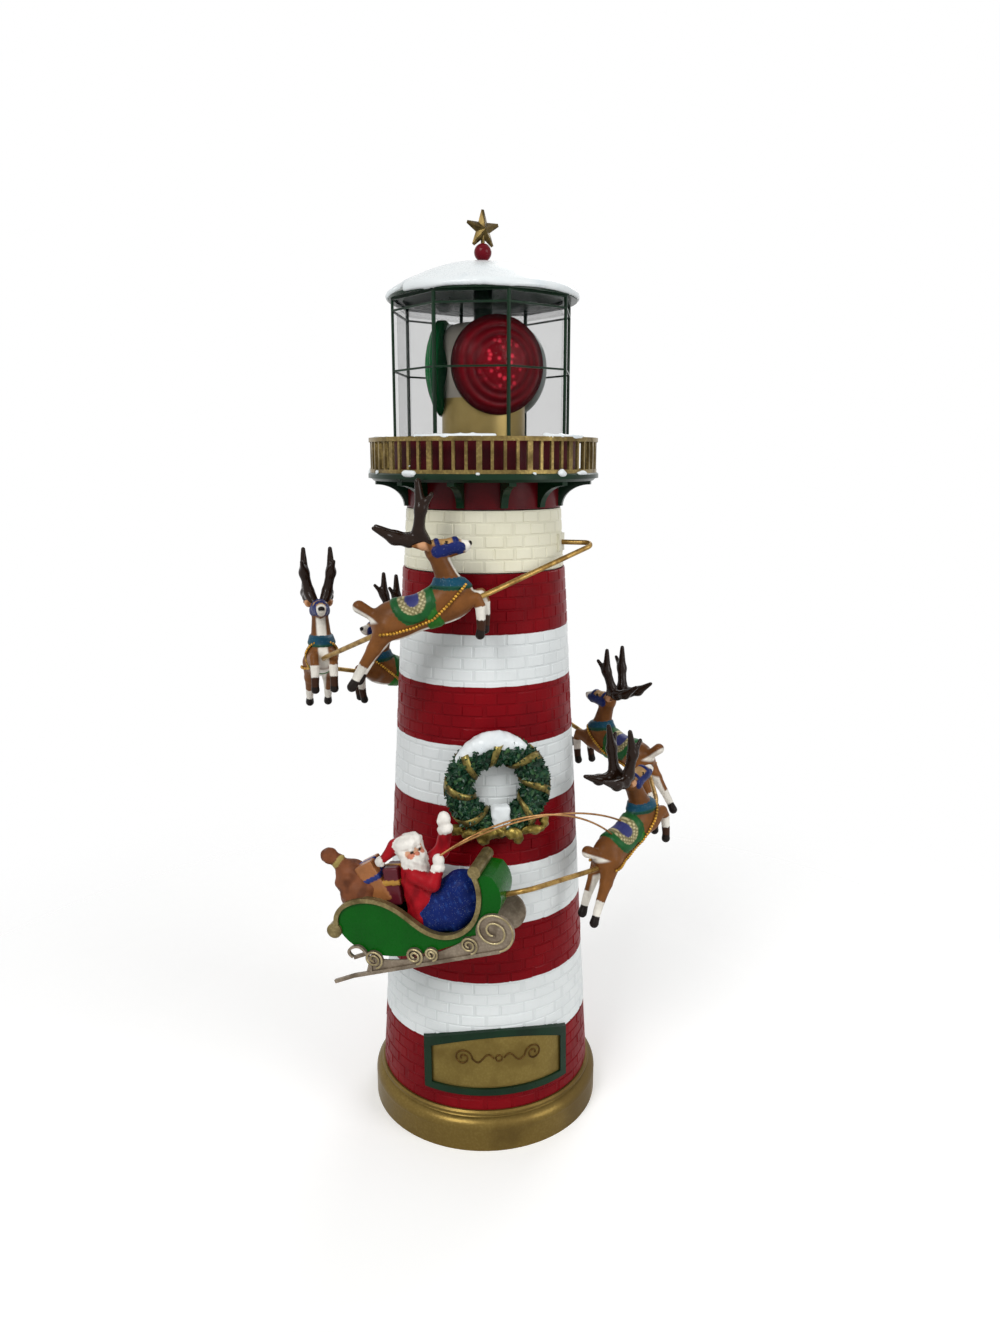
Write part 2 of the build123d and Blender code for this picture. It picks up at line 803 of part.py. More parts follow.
def make_lamp():
    holder_top = lamp_tube_top + lamp_holder_height
    stem_low = tower_top_z - rabbet_depth
    stem = tube(lamp_tube_radius, lamp_tube_radius - lamp_tube_wall, stem_low, lamp_tube_top)
    holder = post(lamp_holder_radius, lamp_tube_top, holder_top)
    holder = chamfer(holder.faces().sort_by(Axis.Z)[-1].edges(), lamp_holder_chamfer)
    neck = (0, 0, holder_top + bulb_neck_lift)
    globe = (0, 0, holder_top + bulb_length - bulb_radius)
    bulb = limb(neck, globe, bulb_neck_radius, bulb_radius)
    bulb = split(bulb, bisect_by=Plane.XY.offset(holder_top), keep=Keep.TOP)
    return stem, holder, bulb


parts["beacon_gear"] = make_beacon_gear()
parts["beacon_drum"] = make_drum()
parts["lens_housing"] = make_housing()
for lens_index, lens_name in enumerate(("red_lens", "clear_lens", "green_lens")):
    parts[lens_name] = make_lens(red_lens_azimuth + 360 * lens_index / lens_count)
parts["lamp_tube"], parts["lamp_holder"], parts["lamp_bulb"] = make_lamp()


# Gallery
def make_corbel():
    outer = tower_radius(corbel_low) - collar_step
    floor = tube(outer, hub_radius + hub_clearance, corbel_low, corbel_low + corbel_wall)
    wall = tube(outer, outer - corbel_wall, corbel_low, deck_low)
    return floor + wall - around(neck_screw_count, neck_screw(seat_gap), 0)


def make_brackets():
    foot = tower_radius(corbel_low) - collar_step
    inner, toe = foot - bracket_root, foot + bracket_foot
    low, tip = corbel_low + bracket_lift, deck_low - bracket_foot
    arch = Curve() + [
        Polyline((toe, low), (inner, low), (inner, deck_low), (bracket_reach, deck_low)),
        Line((bracket_reach, deck_low), (bracket_reach, tip)),
        EllipticalCenterArc((bracket_reach, low), bracket_reach - toe, tip - low, 90, arc_size=90),
    ]
    web = extrude(Plane.XZ * make_face(arch), amount=bracket_thickness / 2, both=True)
    web -= post(foot, corbel_low - cut_margin, deck_low + cut_margin)
    return around(bracket_count, web, bracket_azimuth - 90)


def make_deck():
    step = deck_thickness / 3
    return turned(
        (hub_radius + hub_clearance, deck_low),
        (deck_radius - 2 * deck_lip, deck_low),
        (deck_radius - deck_lip, deck_low + step),
        (deck_radius, deck_low + step),
        (deck_radius, deck_high - deck_chamfer),
        (deck_radius - deck_chamfer, deck_high),
        (hub_radius + hub_clearance, deck_high),
    )


def make_railing():
    """Panels that each run from one post to the next, a joint apart."""
    inner, top = rail_radius - rail_width, deck_high + rail_height
    panel_count = baluster_count // posts_every
    step = 360 / (panel_count * posts_every)
    sweep_angle = posts_every * step - math.degrees(rail_joint / inner)
    middle, cap_width = (inner + rail_radius) / 2, rail_width + 2 * rail_cap_overhang
    low = Pos(middle, deck_high + rail_low / 2) * Rectangle(rail_width, rail_low)
    cap = Pos(middle, top - rail_cap / 2) * Rectangle(cap_width, rail_cap)
    rails = [revolve(Plane.XZ * bar, axis=Axis.Z, revolution_arc=sweep_angle) for bar in (low, cap)]
    bars = [Rot(0, 0, -90 - step / 2) * rail for rail in rails]
    for k in range(posts_every):
        half = (baluster_width if k else post_width) / 2
        near, far = -rail_radius + baluster_inset, -inner - baluster_inset
        bar = block(-half, half, near, far, deck_high + rail_low / 2, top - rail_cap / 2)
        bars.append(Rot(0, 0, k * step) * bar)
    return around(panel_count, bars[0] + bars[1:], post_azimuth)


def make_railing_snow():
    top = deck_high + rail_height
    near, far = rail_radius - rail_width - rail_snow_overhang, rail_radius + rail_snow_overhang
    outline = Curve() + [
        Line((near, top), (far, top)),
        ThreePointArc((far, top), ((near + far) / 2, top + rail_snow_crown), (near, top)),
    ]
    section = Plane.XZ * make_face(outline)
    drifts = []
    for azimuth, sweep_angle in rail_snow_drifts:
        drift = revolve(section, axis=Axis.Z, revolution_arc=sweep_angle)
        drifts.append(Rot(0, 0, azimuth - 90) * drift)
    return drifts


parts["gallery_corbel"] = make_corbel()
parts["gallery_brackets"] = make_brackets()
parts["gallery_deck"] = make_deck()
parts["gallery_railing"] = make_railing()
parts["railing_snow"] = make_railing_snow()


# Lantern, roof and finial
def octagon(radius, low, high):
    face = RegularPolygon(radius, lantern_sides)
    prism = Pos(0, 0, low) * extrude(face, high - low)
    return Rot(0, 0, lantern_azimuth - 90) * prism


def make_lantern():
    inner = lantern_radius - lantern_wall / math.cos(math.pi / lantern_sides)
    glass = octagon(lantern_radius, deck_high, lantern_top)
    glass -= octagon(inner, deck_high - cut_margin, ceiling_z)
    glass -= octagon(inner, ceiling_z + lantern_wall, lantern_top + cut_margin)
    glass -= post(pin_radius + running_gap, ceiling_z - cut_margin, lantern_top)
    outer = octagon(lantern_radius + muntin_depth, deck_high, lantern_top)
    cage = outer - octagon(lantern_radius + fit_gap, deck_high - cut_margin, lantern_top + cut_margin)
    levels = [deck_high, deck_high + midbar_height, ceiling_z, lantern_top - muntin_bar]
    kept = [post(2 * lantern_radius, z, z + muntin_bar) for z in levels]
    half, far = muntin_width / 2, lantern_radius + cut_margin
    corner = block(-half, half, -far, -glass_apothem, deck_high, lantern_top)
    kept += around(lantern_sides, corner, lantern_azimuth)
    return glass, cage & (kept[0] + kept[1:])


def make_curb():
    inner = lantern_radius + muntin_depth + running_gap
    return tube(inner + curb_wall, inner, deck_high, deck_high + rail_height - curb_drop)


def dome(radius, low, edge, crown):
    outline = Curve() + [
        Polyline((0, crown), (0, low), (radius, low), (radius, edge)),
        cap_arc(radius, edge, crown),
    ]
    return revolve(Plane.XZ * make_face(outline), axis=Axis.Z)


def make_roof():
    edge = lantern_top + eave_height
    solid = dome(eave_radius, lantern_top, edge, roof_top)
    seat = lantern_radius - 2 * lantern_wall - roof_wall
    hollow = dome(seat, lantern_top - cut_margin, edge + roof_hollow_edge, roof_top - 1.5 * roof_wall)
    cap = solid - hollow + post(pin_radius, lantern_top - pin_drop, roof_top - roof_wall)
    cap -= post(pivot_radius + fit_gap, lantern_top - pin_drop - cut_margin, lantern_top)
    snow = dome(eave_radius + snow_overhang, edge - snow_drip, edge + snow_edge, snow_top)
    snow = snow - post(eave_radius + seat_gap, edge - cut_margin, edge) - solid
    reach = eave_radius + cut_margin
    bare = Plane.XZ * Pos((reach + eave_radius - bare_rim_depth) / 2, edge) * Rectangle(
        reach - eave_radius + bare_rim_depth, 2 * cut_margin
    )
    snow -= Rot(0, 0, bare_rim_azimuth - 90) * revolve(bare, axis=Axis.Z, revolution_arc=bare_rim_arc)
    return cap, snow


def make_finial():
    pin_low = ball_z + finial_pin_root
    hole = post(finial_pin_radius + fit_gap, pin_low, ball_z + 2 * ball_radius)
    ball = Pos(0, 0, ball_z) * Sphere(ball_radius)
    ball = split(ball, bisect_by=Plane.XY.offset(snow_top), keep=Keep.TOP) - hole
    spots = []
    pitch = 360 / star_points
    outline = ((star_radius, -star_blunt), (star_radius, star_blunt), (star_radius * star_waist, pitch / 2))
    for k in range(star_points):
        for reach, step in outline:
            angle = math.radians(90 + pitch * k + step)
            spots.append(Vector(reach * math.cos(angle), 0, star_z + reach * math.sin(angle)))
    facets = []
    for depth in (-star_half_depth, star_half_depth):
        tip = Vector(0, depth, star_z)
        for near, far in zip(spots, spots[1:] + spots[:1]):
            facets.append(Face(Wire.make_polygon((near, far, tip))))
    star = Solid(Shell(facets))
    star = Part(star.wrapped) + post(finial_pin_radius, pin_low, star_z)
    return ball, Rot(0, 0, star_turn) * star


parts["lantern_glass"], parts["lantern_frame"] = make_lantern()
parts["lantern_curb"] = make_curb()
parts["roof_cap"], parts["roof_snow"] = make_roof()
parts["finial_ball"], parts["finial_star"] = make_finial()


# Reindeer
def bone(bones, near, far):
    return limb(bones[near][:3], bones[far][:3], bones[near][3], knuckle_share * bones[far][3])


def on_side(bones, side, stride):
    """Copy of a left limb's joints for one side, with that side's step in its stride."""
    return {name: (x + side * stride, side * y, z, radius) for name, (x, y, z, radius) in bones.items()}


def make_deer():
    """Leaping reindeer along +X, with the rod's axis through the origin."""
    rings = []
    for x, z, half_width, half_height in deer_trunk:
        plane = Plane(origin=(x, 0, z), x_dir=(0, 1, 0), z_dir=(1, 0, 0))
        rings.append(plane * Ellipse(half_width, half_height))
    deer = loft(rings) + [bone(deer_head, near, far) for near, far in deer_head_limbs]
    horns = []
    for side in (-1, 1):
        legs = on_side(deer_leg, side, deer_stride)
        deer = deer + [bone(legs, near, far) for near, far in deer_leg_limbs]
        horn_bones = on_side(deer_horn, side, 0)
        stem, *tines = [bone(horn_bones, near, far) for near, far in deer_horn_limbs]
        horns.append(stem + tines)
    return deer, [horn - deer for horn in horns]


deer_shape, horn_shapes = make_deer()
antlers = []
for deer_name, place in deer_places.items():
    stand = heading_plane(place)
    parts[deer_name] = stand * deer_shape
    antlers += [stand * horn for horn in horn_shapes]
parts["antlers"] = antlers


# Sleigh, in its own frame: +X forward, the low point of the rim at the origin
rim_line = [
    (-49.0, 13.0),
    (-45.6, 20.4),
    (-31.0, 22.6),
    (-17.2, 13.6),
    (-9.1, 4.2),
    (0.0, 0.0),
    (11.4, 2.9),
    (17.1, 9.4),
    (19.5, 25.2),
]
keel_line = [(27.0, 22.0), (27.5, 10.0), (17.0, 0.0), (0.0, -4.6), (-24.0, -5.2), (-40.0, 0.0), (-49.0, 13.0)]
floor_line = [(17.6, 8.0), (10.0, -0.4), (-4.0, -2.4), (-24.0, -2.6), (-38.0, 2.6), (-46.0, 12.0)]
hold_top = 60.0
rear_roll = (-50.6, 12.0, 3.4)
front_roll = (20.6, 26.0, 2.8)
runner_tail = (-58.0, -11.2)
runner_tail_run = 10.0
runner_height = -10.0
plate_line = [(-38.0, -3.0), (-24.0, -6.5), (-4.0, -5.6), (11.0, -1.4)]
plate_tail = -42.0
plate_lift = 0.3
tail_scroll_line = [(-40.0, -10.0), (-38.6, -3.0), (-42.0, 3.0), (-46.5, 2.0), (-45.6, -1.4)]
curl_center = (21.3, -1.7)
curl_radius = 8.2
scroll_places = [(-36.4, -4.4, 3.8), (-17.3, -6.0, 3.5), (-9.4, -6.4, 2.7), (8.6, -5.4, 3.5)]
driver_bones = {
    "seat": (-9.0, 0.0, 9.0, 8.3),
    "chest": (-8.0, 0.0, 28.6, 7.2),
    "jaw": (-7.4, 0.0, 36.0, 5.6),
    "crown": (-6.4, 0.0, 40.0, 5.4),
    "beard_root": (-3.6, 0.0, 36.0, 4.6),
    "beard_tip": (-1.4, 0.0, 29.0, 2.8),
    "hat_brim": (-7.6, 0.0, 42.0, 5.6),
    "hat_fold": (-11.0, 0.0, 47.0, 3.1),
    "hat_end": (-20.0, -4.0, 41.0, 1.6),
    "pompom": (-21.6, -4.4, 40.0, 2.5),
    "pompom_end": (-22.4, -4.6, 39.4, 2.5),
    "far_shoulder": (-7.0, 5.0, 29.0, 3.6),
    "far_elbow": (3.0, 8.0, 35.0, 2.85),
    "far_wrist": (7.0, 8.0, 43.4, 2.9),
    "far_mitten": (8.3, 8.0, 49.0, 2.7),
    "near_shoulder": (-7.0, -5.0, 29.0, 3.6),
    "near_elbow": (0.0, -8.0, 24.0, 2.85),
    "near_wrist": (3.1, -6.0, 28.8, 2.75),
    "near_mitten": (4.6, -5.6, 32.0, 2.4),
}
driver_limbs = [
    ("seat", "chest"),
    ("jaw", "crown"),
    ("beard_root", "beard_tip"),
    ("hat_brim", "hat_fold"),
    ("hat_fold", "hat_end"),
    ("pompom", "pompom_end"),
    ("far_shoulder", "far_elbow"),
    ("far_elbow", "far_wrist"),
    ("far_wrist", "far_mitten"),
    ("near_shoulder", "near_elbow"),
    ("near_elbow", "near_wrist"),
    ("near_wrist", "near_mitten"),
]
cargo_bones = {
    "robe_lap": (3.0, 0.0, 8.0, 9.6),
    "robe_knee": (9.0, 0.0, 17.0, 8.0),
    "sack_base": (-39.0, 0.0, 26.0, 9.6),
    "sack_top": (-41.0, 0.0, 33.0, 7.6),
    "sack_throat": (-42.0, 0.0, 39.0, 4.0),
    "sack_tie": (-45.0, 0.0, 44.2, 2.65),
    "sack_mouth": (-47.5, 0.0, 48.5, 3.6),
}
gift_places = [(-28.6, 27.6, -14.0, (9.0, 11.0, 19.0)), (-20.4, 24.4, 10.0, (7.0, 10.0, 17.0))]


def slab(face, low, high):
    return Pos(0, high, 0) * extrude(Plane.XZ * face, amount=high - low)


def make_tub():
    side_face = make_face(
        Curve() + [Spline(*rim_line), Line(rim_line[-1], keel_line[0]), Spline(*keel_line)]
    )
    half = sleigh_width / 2
    front, rear = floor_line[0], floor_line[-1]
    mouth = Polyline(rear, (rear[0], hold_top), (front[0], hold_top), front)
    hold = make_face(Curve() + [Spline(*floor_line), mouth])
    return slab(side_face, -half, half) - slab(hold, -half + sleigh_wall, half - sleigh_wall)


def make_trim(tub):
    half = sleigh_width / 2
    bead = trace(Spline(*rim_line), trim_width)
    outer, inner = half + trim_proud, half - sleigh_wall
    pieces = [slab(bead, low, high) for low, high in ((-outer, -inner), (inner, outer))]
    rolls = [slab(Pos(x, z) * Circle(radius), -outer, outer) for x, z, radius in (rear_roll, front_roll)]
    return rolls[0] + [rolls[1]] + pieces - tub


def half_turns(center, radius, count):
    """Scroll of half circles that shrink towards the middle."""
    bands = []
    x, z = center
    shrink = scroll_shrink * radius
    for k in range(count):
        reach = radius - k * shrink
        angles = [math.radians(180 * k - 90 + step) for step in (0, 90, 180)]
        arc = ThreePointArc(*[(x + reach * math.cos(a), z + reach * math.sin(a)) for a in angles])
        bands.append(trace(arc, scroll_line))
        x += shrink * math.cos(angles[-1])
        z += shrink * math.sin(angles[-1])
    return bands


def make_runners():
    low = sleigh_width / 2 + runner_gap
    cx, cz = curl_center
    sole = runner_height + plate_lift
    low_bar = Polyline(runner_tail, (runner_tail[0] + runner_tail_run, runner_height), (cx, runner_height))
    plate_outline = Curve() + [
        Polyline((cx, sole), (plate_tail, sole), plate_line[0]),
        Spline(*plate_line),
        Polyline(plate_line[-1], (cx, cz), (cx, sole)),
    ]
    plate = make_face(plate_outline) + Pos(cx, cz) * Circle(curl_radius)
    lines = [trace(low_bar, runner_line)] + half_turns(curl_center, curl_radius, scroll_turns)
    for x, z, radius in scroll_places:
        lines += half_turns((x, z), radius, scroll_turns)
    lines.append(trace(Spline(*tail_scroll_line), scroll_line))
    relief = lines[0] + lines[1:]
    side = slab(plate, low, low + runner_plate) + slab(relief, low, low + runner_plate + runner_relief)
    return [side, mirror(side, about=Plane.XZ)]


def make_driver():
    torso, *rest = [bone(driver_bones, near, far) for near, far in driver_limbs]
    return torso + rest


def make_cargo(tub, trim, driver):
    robe = bone(cargo_bones, "robe_lap", "robe_knee") - driver - tub - trim
    sack = bone(cargo_bones, "sack_base", "sack_top")
    sack = sack + bone(cargo_bones, "sack_throat", "sack_tie") + bone(cargo_bones, "sack_tie", "sack_mouth")
    sack = sack - tub - trim
    boxes = [Pos(x, 0, z) * Rot(0, lean, 0) * Box(*size) for x, z, lean, size in gift_places]
    gifts = [box - driver - tub - trim - sack for box in boxes]
    gifts[1] = gifts[1] - gifts[0]
    return robe, sack, gifts


sleigh_stand = heading_plane(sleigh_place)
tub = make_tub()
trim = make_trim(tub)
driver = make_driver() - tub - trim
robe, sack, gifts = make_cargo(tub, trim, driver)
parts["sleigh_tub"] = sleigh_stand * tub
parts["sleigh_trim"] = sleigh_stand * trim
parts["sleigh_runners"] = [sleigh_stand * side for side in make_runners()]
parts["sleigh_driver"] = sleigh_stand * driver
parts["lap_robe"] = sleigh_stand * robe
parts["toy_sack"] = sleigh_stand * sack
parts["gift_boxes"] = [sleigh_stand * gift for gift in gifts]


# Rod, reins and leads
def wire(points, radii, radius):
    route = FilletPolyline(*points, radius=radii)
    start = Plane(origin=route @ 0, z_dir=route % 0)
    return sweep(start * Circle(radius), path=route), route.length


def rod_points():
    points = [polar(rod_azimuth, tower_radius(rod_z) - rod_plug, rod_z)]
    points.append(polar(rod_azimuth, tower_radius(rod_z) + rod_reach, rod_z))
    for place in deer_places.values():
        stand = heading_plane(place)
        points.append(stand.from_local_coords(Vector(deer_half_run, 0, 0)))
        points.append(stand.from_local_coords(Vector(-deer_half_run, 0, 0)))
    hitch_x, hitch_z = hitch_place
    points.append(sleigh_stand.from_local_coords(Vector(hitch_x + hitch_run, 0, hitch_z)))
    points.append(sleigh_stand.from_local_coords(Vector(hitch_x, 0, hitch_z)))
    return points


def bend_radii(points, most):
    """Largest bend up to a limit that uses under half of the shorter run at each corner."""
    radii = []
    for before, here, after in zip(points, points[1:], points[2:]):
        turn = math.radians((here - before).get_angle(after - here))
        shorter = min((here - before).length, (after - here).length)
        radii.append(min(most, 0.45 * shorter / math.tan(turn / 2)))
    return radii


def make_rod():
    points = rod_points()
    radii = bend_radii(points, rod_bend)
    radii[0] = rod_elbow_bend
    rod, length = wire(points, radii, rod_radius)
    bore, _ = wire(points, radii, rod_radius + fit_gap)
    fill = rod.volume / (math.pi * rod_radius**2 * length)
    print("rod length", round(length, 1), "volume ratio", round(fill, 4))
    return rod, bore


def make_reins():
    last_deer = heading_plane(deer_places["reindeer_6"])
    hand_x, hand_y, hand_z = wire_hand
    back_x, back_z = wire_back
    wires = []
    for side in (-1, 1):
        hand = sleigh_stand.from_local_coords(Vector(hand_x, hand_y + side * wire_hand_gap, hand_z))
        back = last_deer.from_local_coords(Vector(back_x, side * wire_spread, back_z))
        span = back - hand
        middle = hand + span * 0.5
        lift = Vector(middle.X, middle.Y, 0).normalized() * wire_bulge + Vector(0, 0, wire_arch)
        rise = hand + span * wire_rise_share + lift
        fall = hand + span * wire_fall_share + lift * wire_fall_lift
        points = [hand, rise, fall, back]
        rein, _ = wire(points, bend_radii(points, wire_bend), wire_radius)
        wires.append(rein)
    return wires


parts["flight_rod"], rod_bore = make_rod()
for holder in [*deer_places, "sleigh_tub"]:
    parts[holder] = parts[holder] - rod_bore
parts["rein_wires"] = make_reins()


def make_lead():
    motor_low = tower_top_z - rabbet_depth - motor_length
    foot_azimuth = switch_azimuth - lead_foot_turn
    side_azimuth = switch_azimuth - lead_side_turn
    points = [
        polar(foot_azimuth, wall_face(switch_body_width) - switch_body_depth - lead_radius, control_height),
        polar(foot_azimuth, lead_foot_distance, control_height + lead_foot_rise),
        polar(side_azimuth, lead_side_distance, control_height + lead_side_rise),
        polar(side_azimuth, lead_top_distance, motor_low - lead_side_rise),
        polar(motor_azimuth, pinion_place, motor_low - lead_radius),
    ]
    lead, _ = wire(points, bend_radii(points, lead_bend), lead_radius)
    return lead


parts["power_lead"] = make_lead()


def write(name, shape):
    solids = shape if isinstance(shape, list) else [shape]
    group = Compound(children=[Part(s.wrapped) if not isinstance(s, Part) else s for s in solids])
    export_step(group, f"parts/{name}.step")


for node, shape in parts.items():
    write(node, shape)
print(len(parts), "nodes")
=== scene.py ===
"""Looks of a lit table lighthouse with a flying sleigh team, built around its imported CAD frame."""

import math
from functools import partial

import bpy
import numpy as np
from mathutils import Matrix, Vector
from mathutils.bvhtree import BVHTree


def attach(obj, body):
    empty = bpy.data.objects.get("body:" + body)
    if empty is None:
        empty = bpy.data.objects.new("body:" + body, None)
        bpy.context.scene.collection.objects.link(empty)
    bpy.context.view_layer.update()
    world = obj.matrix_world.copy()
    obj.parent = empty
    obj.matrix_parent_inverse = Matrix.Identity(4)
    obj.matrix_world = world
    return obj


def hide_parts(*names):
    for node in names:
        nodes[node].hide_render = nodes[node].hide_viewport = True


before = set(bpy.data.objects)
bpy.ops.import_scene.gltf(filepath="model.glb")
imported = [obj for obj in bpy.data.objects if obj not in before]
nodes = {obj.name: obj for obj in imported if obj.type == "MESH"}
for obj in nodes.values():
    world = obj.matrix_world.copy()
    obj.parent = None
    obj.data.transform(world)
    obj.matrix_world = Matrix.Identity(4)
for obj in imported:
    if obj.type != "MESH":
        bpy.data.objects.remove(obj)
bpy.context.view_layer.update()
MM = 0.001

# Camera of the photograph, in millimetres and degrees
camera_place = (-56.55, -460.54, 322.6)
camera_heading = 7.945
camera_drop = 12.03
camera_focal_px = 977.4
photo_height_px = 1333.0
sensor_mm = 36.0

# Tower
stripe_edges = (18.9, 51.3, 83.0, 111.0, 139.7, 167.2, 196.1, 222.9, 246.1)
tower_foot_radius, tower_taper = 52.5, 0.0567
brick_columns = 26
brick_course = 5.3
brick_relief = 0.34
brick_joint = 0.5

# Gallery, lantern and roof
rail_middle = 51.5
rail_top = 331.6
deck_rim = 53.2
deck_top = 316.2
roof_edge_z = 392.4
roof_top_z = 404.9
roof_radius = 42.3

# Wreath, with its ribbon's wraps and the lumps of its bow
wreath_center = (0.0, -46.85, 178.6)
wreath_ring = 17.2
wreath_core = 5.6
leaf_length = 3.0
leaf_density = 560000.0
ribbon_wraps, ribbon_lift, ribbon_half, ribbon_slant = 8, 1.15, 0.092, 0.5
ribbon_wall = 44.2
bow_lumps = (
    ((0.6, -53.0, 159.2), (2.5, 2.5, 2.6)),
    ((-5.8, -52.4, 158.6), (5.0, 2.5, 3.0)),
    ((-13.0, -50.6, 158.4), (3.9, 2.5, 2.6)),
    ((-19.0, -48.6, 159.6), (3.6, 2.1, 2.9)),
    ((6.4, -52.4, 158.4), (4.2, 2.5, 2.6)),
    ((8.4, -52.0, 155.6), (2.6, 1.9, 3.1)),
    ((-7.0, -52.2, 155.8), (2.9, 1.9, 2.6)),
    ((15.4, -50.2, 158.8), (6.0, 2.4, 2.3)),
    ((21.4, -47.6, 161.4), (2.2, 1.9, 3.2)),
)

# Beacon, with each lens's azimuth, slot, colour, painted-shade tone and painted-glint colour
lens_z = 362.5
lens_radius = 21.2
lens_plane = 21.0
lens_bulge = 6.0
lens_rings = 6
lens_looks = {
    "red_lens": (13.0, "red_clear", "#7e0214", "#1a0005", "#ff3a50"),
    "clear_lens": (133.0, "white_clear", "#d6d7d2", "#7d8482", "#f4f5f2"),
    "green_lens": (253.0, "green_clear", "#13803e", "#0b4a26", "#3cc06c"),
}

# Team: azimuth, distance from the axis, height, heading and climb
deer_places = {
    "reindeer_1": (-29.4, 59.9, 257.8, -5.0, 19.4),
    "reindeer_2": (-104.0, 81.1, 223.9, -84.0, 16.8),
    "reindeer_3": (-150.0, 82.0, 205.0, -150.0, 13.0),
    "reindeer_4": (-197.0, 82.0, 188.0, -197.0, 13.0),
    "reindeer_5": (-243.8, 85.0, 167.0, -233.7, 13.0),
    "reindeer_6": (-297.1, 74.0, 146.0, -325.5, 25.5),
}
sleigh_place = (-18.0, 70.5, 122.5, -22.0, 17.0)


# Colours
def tone(code):
    """Linear colour of a #rrggbb code."""
    parts = [int(code[i : i + 2], 16) / 255 for i in (1, 3, 5)]
    return tuple(c / 12.92 if c <= 0.04045 else ((c + 0.055) / 1.055) ** 2.4 for c in parts) + (1.0,)


CRIMSON = tone("#7e0913")
CRIMSON_DEEP = tone("#58040d")
COOL_WHITE = tone("#e4e8e8")
CREAM = tone("#e9e6d0")
SNOW = tone("#e2e7e8")
GOLD_LIGHT = tone("#ab9758")
PINE = tone("#0d2b18")
LEAF = tone("#12412c")
CLOTH_GREEN = tone("#1b5529")
CLOTH_BLUE = tone("#182560")
SADDLE_BLUE = tone("#35396e")
TEAL = tone("#12465c")
COAT = tone("#7a4c25")
COAT_DARK = tone("#5c3618")
COAT_WHITE = tone("#ece7dc")
HORN = tone("#24160e")
HOOF = tone("#1b1512")
SHIN = tone("#3a2215")
SUIT = tone("#a5141f")
SUIT_DARK = tone("#6b0a14")
FUR = tone("#f0ece4")
SKIN = tone("#d9a584")
ROBE = tone("#0e2262")
ROBE_LIGHT = tone("#3458a4")
SACK = tone("#7d4a2f")
SACK_DARK = tone("#56301f")
MAROON = tone("#5e1a26")


# Shader maths
class Value:
    """A shader socket that takes part in Python sums."""

    def __init__(self, shading, socket):
        self.shading = shading
        self.socket = socket

    def math(self, operation, *others):
        return self.shading.node("Math", {"operation": operation}, dict(enumerate((self, *others))))

    def __add__(self, other):
        return self.math("ADD", other)

    __radd__ = __add__

    def __sub__(self, other):
        return self.math("SUBTRACT", other)

    def __rsub__(self, other):
        return self.shading.node("Math", {"operation": "SUBTRACT"}, {0: other, 1: self})

    def __mul__(self, other):
        return self.math("MULTIPLY", other)

    __rmul__ = __mul__


class Shading:
    """A shader tree, built node by node."""

    def __init__(self, tree, shader):
        self.tree = tree
        self.shader = tree.nodes[shader]

    def node(self, kind, settings=None, sockets=None, out=0):
        made = self.tree.nodes.new("ShaderNode" + kind)
        for key, value in (settings or {}).items():
            setattr(made, key, value)
        for key, value in (sockets or {}).items():
            self.feed(made.inputs[key], value)
        return Value(self, made.outputs[out])

    def feed(self, socket, value):
        if isinstance(value, Value):
            self.tree.links.new(value.socket, socket)
        else:
            socket.default_value = value

    def set(self, name, value):
        self.feed(self.shader.inputs[name], value)
        return self


class Finish(Shading):
    """One procedural material."""

    def __init__(self, name, **shader):
        self.material = bpy.data.materials.new(name)
        self.material.use_nodes = True
        super().__init__(self.material.node_tree, "Principled BSDF")
        self.object = self.node("TexCoord", out="Object")
        self.set("Specular IOR Level", 0.1)
        for key, value in shader.items():
            self.set(key.replace("_", " "), value)

    def axis(self, name):
        return self.node("SeparateXYZ", None, {0: self.object}, name)

    def noise(self, scale, detail=3.0):
        sockets = {"Vector": self.object, "Scale": scale, "Detail": detail}
        return self.node("TexNoise", None, sockets, "Fac")

    def cells(self, scale):
        return self.node("TexVoronoi", None, {"Vector": self.object, "Scale": scale}, "Distance")

    def attribute(self, name, out="Color"):
        return self.node("Attribute", {"attribute_name": name}, None, out)

    def step(self, value, low, high):
        settings = {"interpolation_type": "SMOOTHSTEP"}
        return self.node("MapRange", settings, {"Value": value, "From Min": low, "From Max": high})

    def mix(self, share, first, second):
        return self.node("Mix", {"data_type": "RGBA"}, {0: share, 6: first, 7: second}, 2)

    def bump(self, height, strength, distance):
        sockets = {"Height": height, "Strength": strength, "Distance": distance}
        return self.set("Normal", self.node("Bump", None, sockets, "Normal"))


def painted(name, color, dark, rough, metal=0.0, coat=0.0, bump=0.12, wear=0.55):
    """Brushed paint: tone drifts over the piece, with a fine grain and uneven gloss."""
    color, dark = tone(color), tone(dark)
    finish = Finish(name, Metallic=metal, Coat_Weight=coat, Coat_Roughness=0.12)
    drift = finish.step(finish.noise(60.0), 0.35, 0.7)
    speck = finish.noise(420.0, 5.0)
    finish.set("Base Color", finish.mix(drift * wear + (speck - 0.5) * 0.3, color, dark))
    finish.set("Roughness", speck * 0.16 + (rough - 0.08))
    return finish.bump(speck + drift * 0.4, bump, 0.0004).material


def old_gold(name, light, base, deep, patch):
    """Antique gold paint with brown left in its hollows."""
    light, base, deep = map(tone, (light, base, deep))
    finish = Finish(name, Metallic=0.62)
    stain = finish.step(finish.noise(patch, 4.0), 0.42, 0.68)
    grain = finish.noise(900.0, 4.0)
    rubbed = finish.mix(finish.step(grain, 0.4, 0.75) * 0.5, base, light)
    finish.set("Base Color", finish.mix(stain * 0.75, rubbed, deep))
    finish.set("Roughness", stain * 0.2 + grain * 0.12 + 0.26)
    return finish.bump(grain, 0.18, 0.0004).material


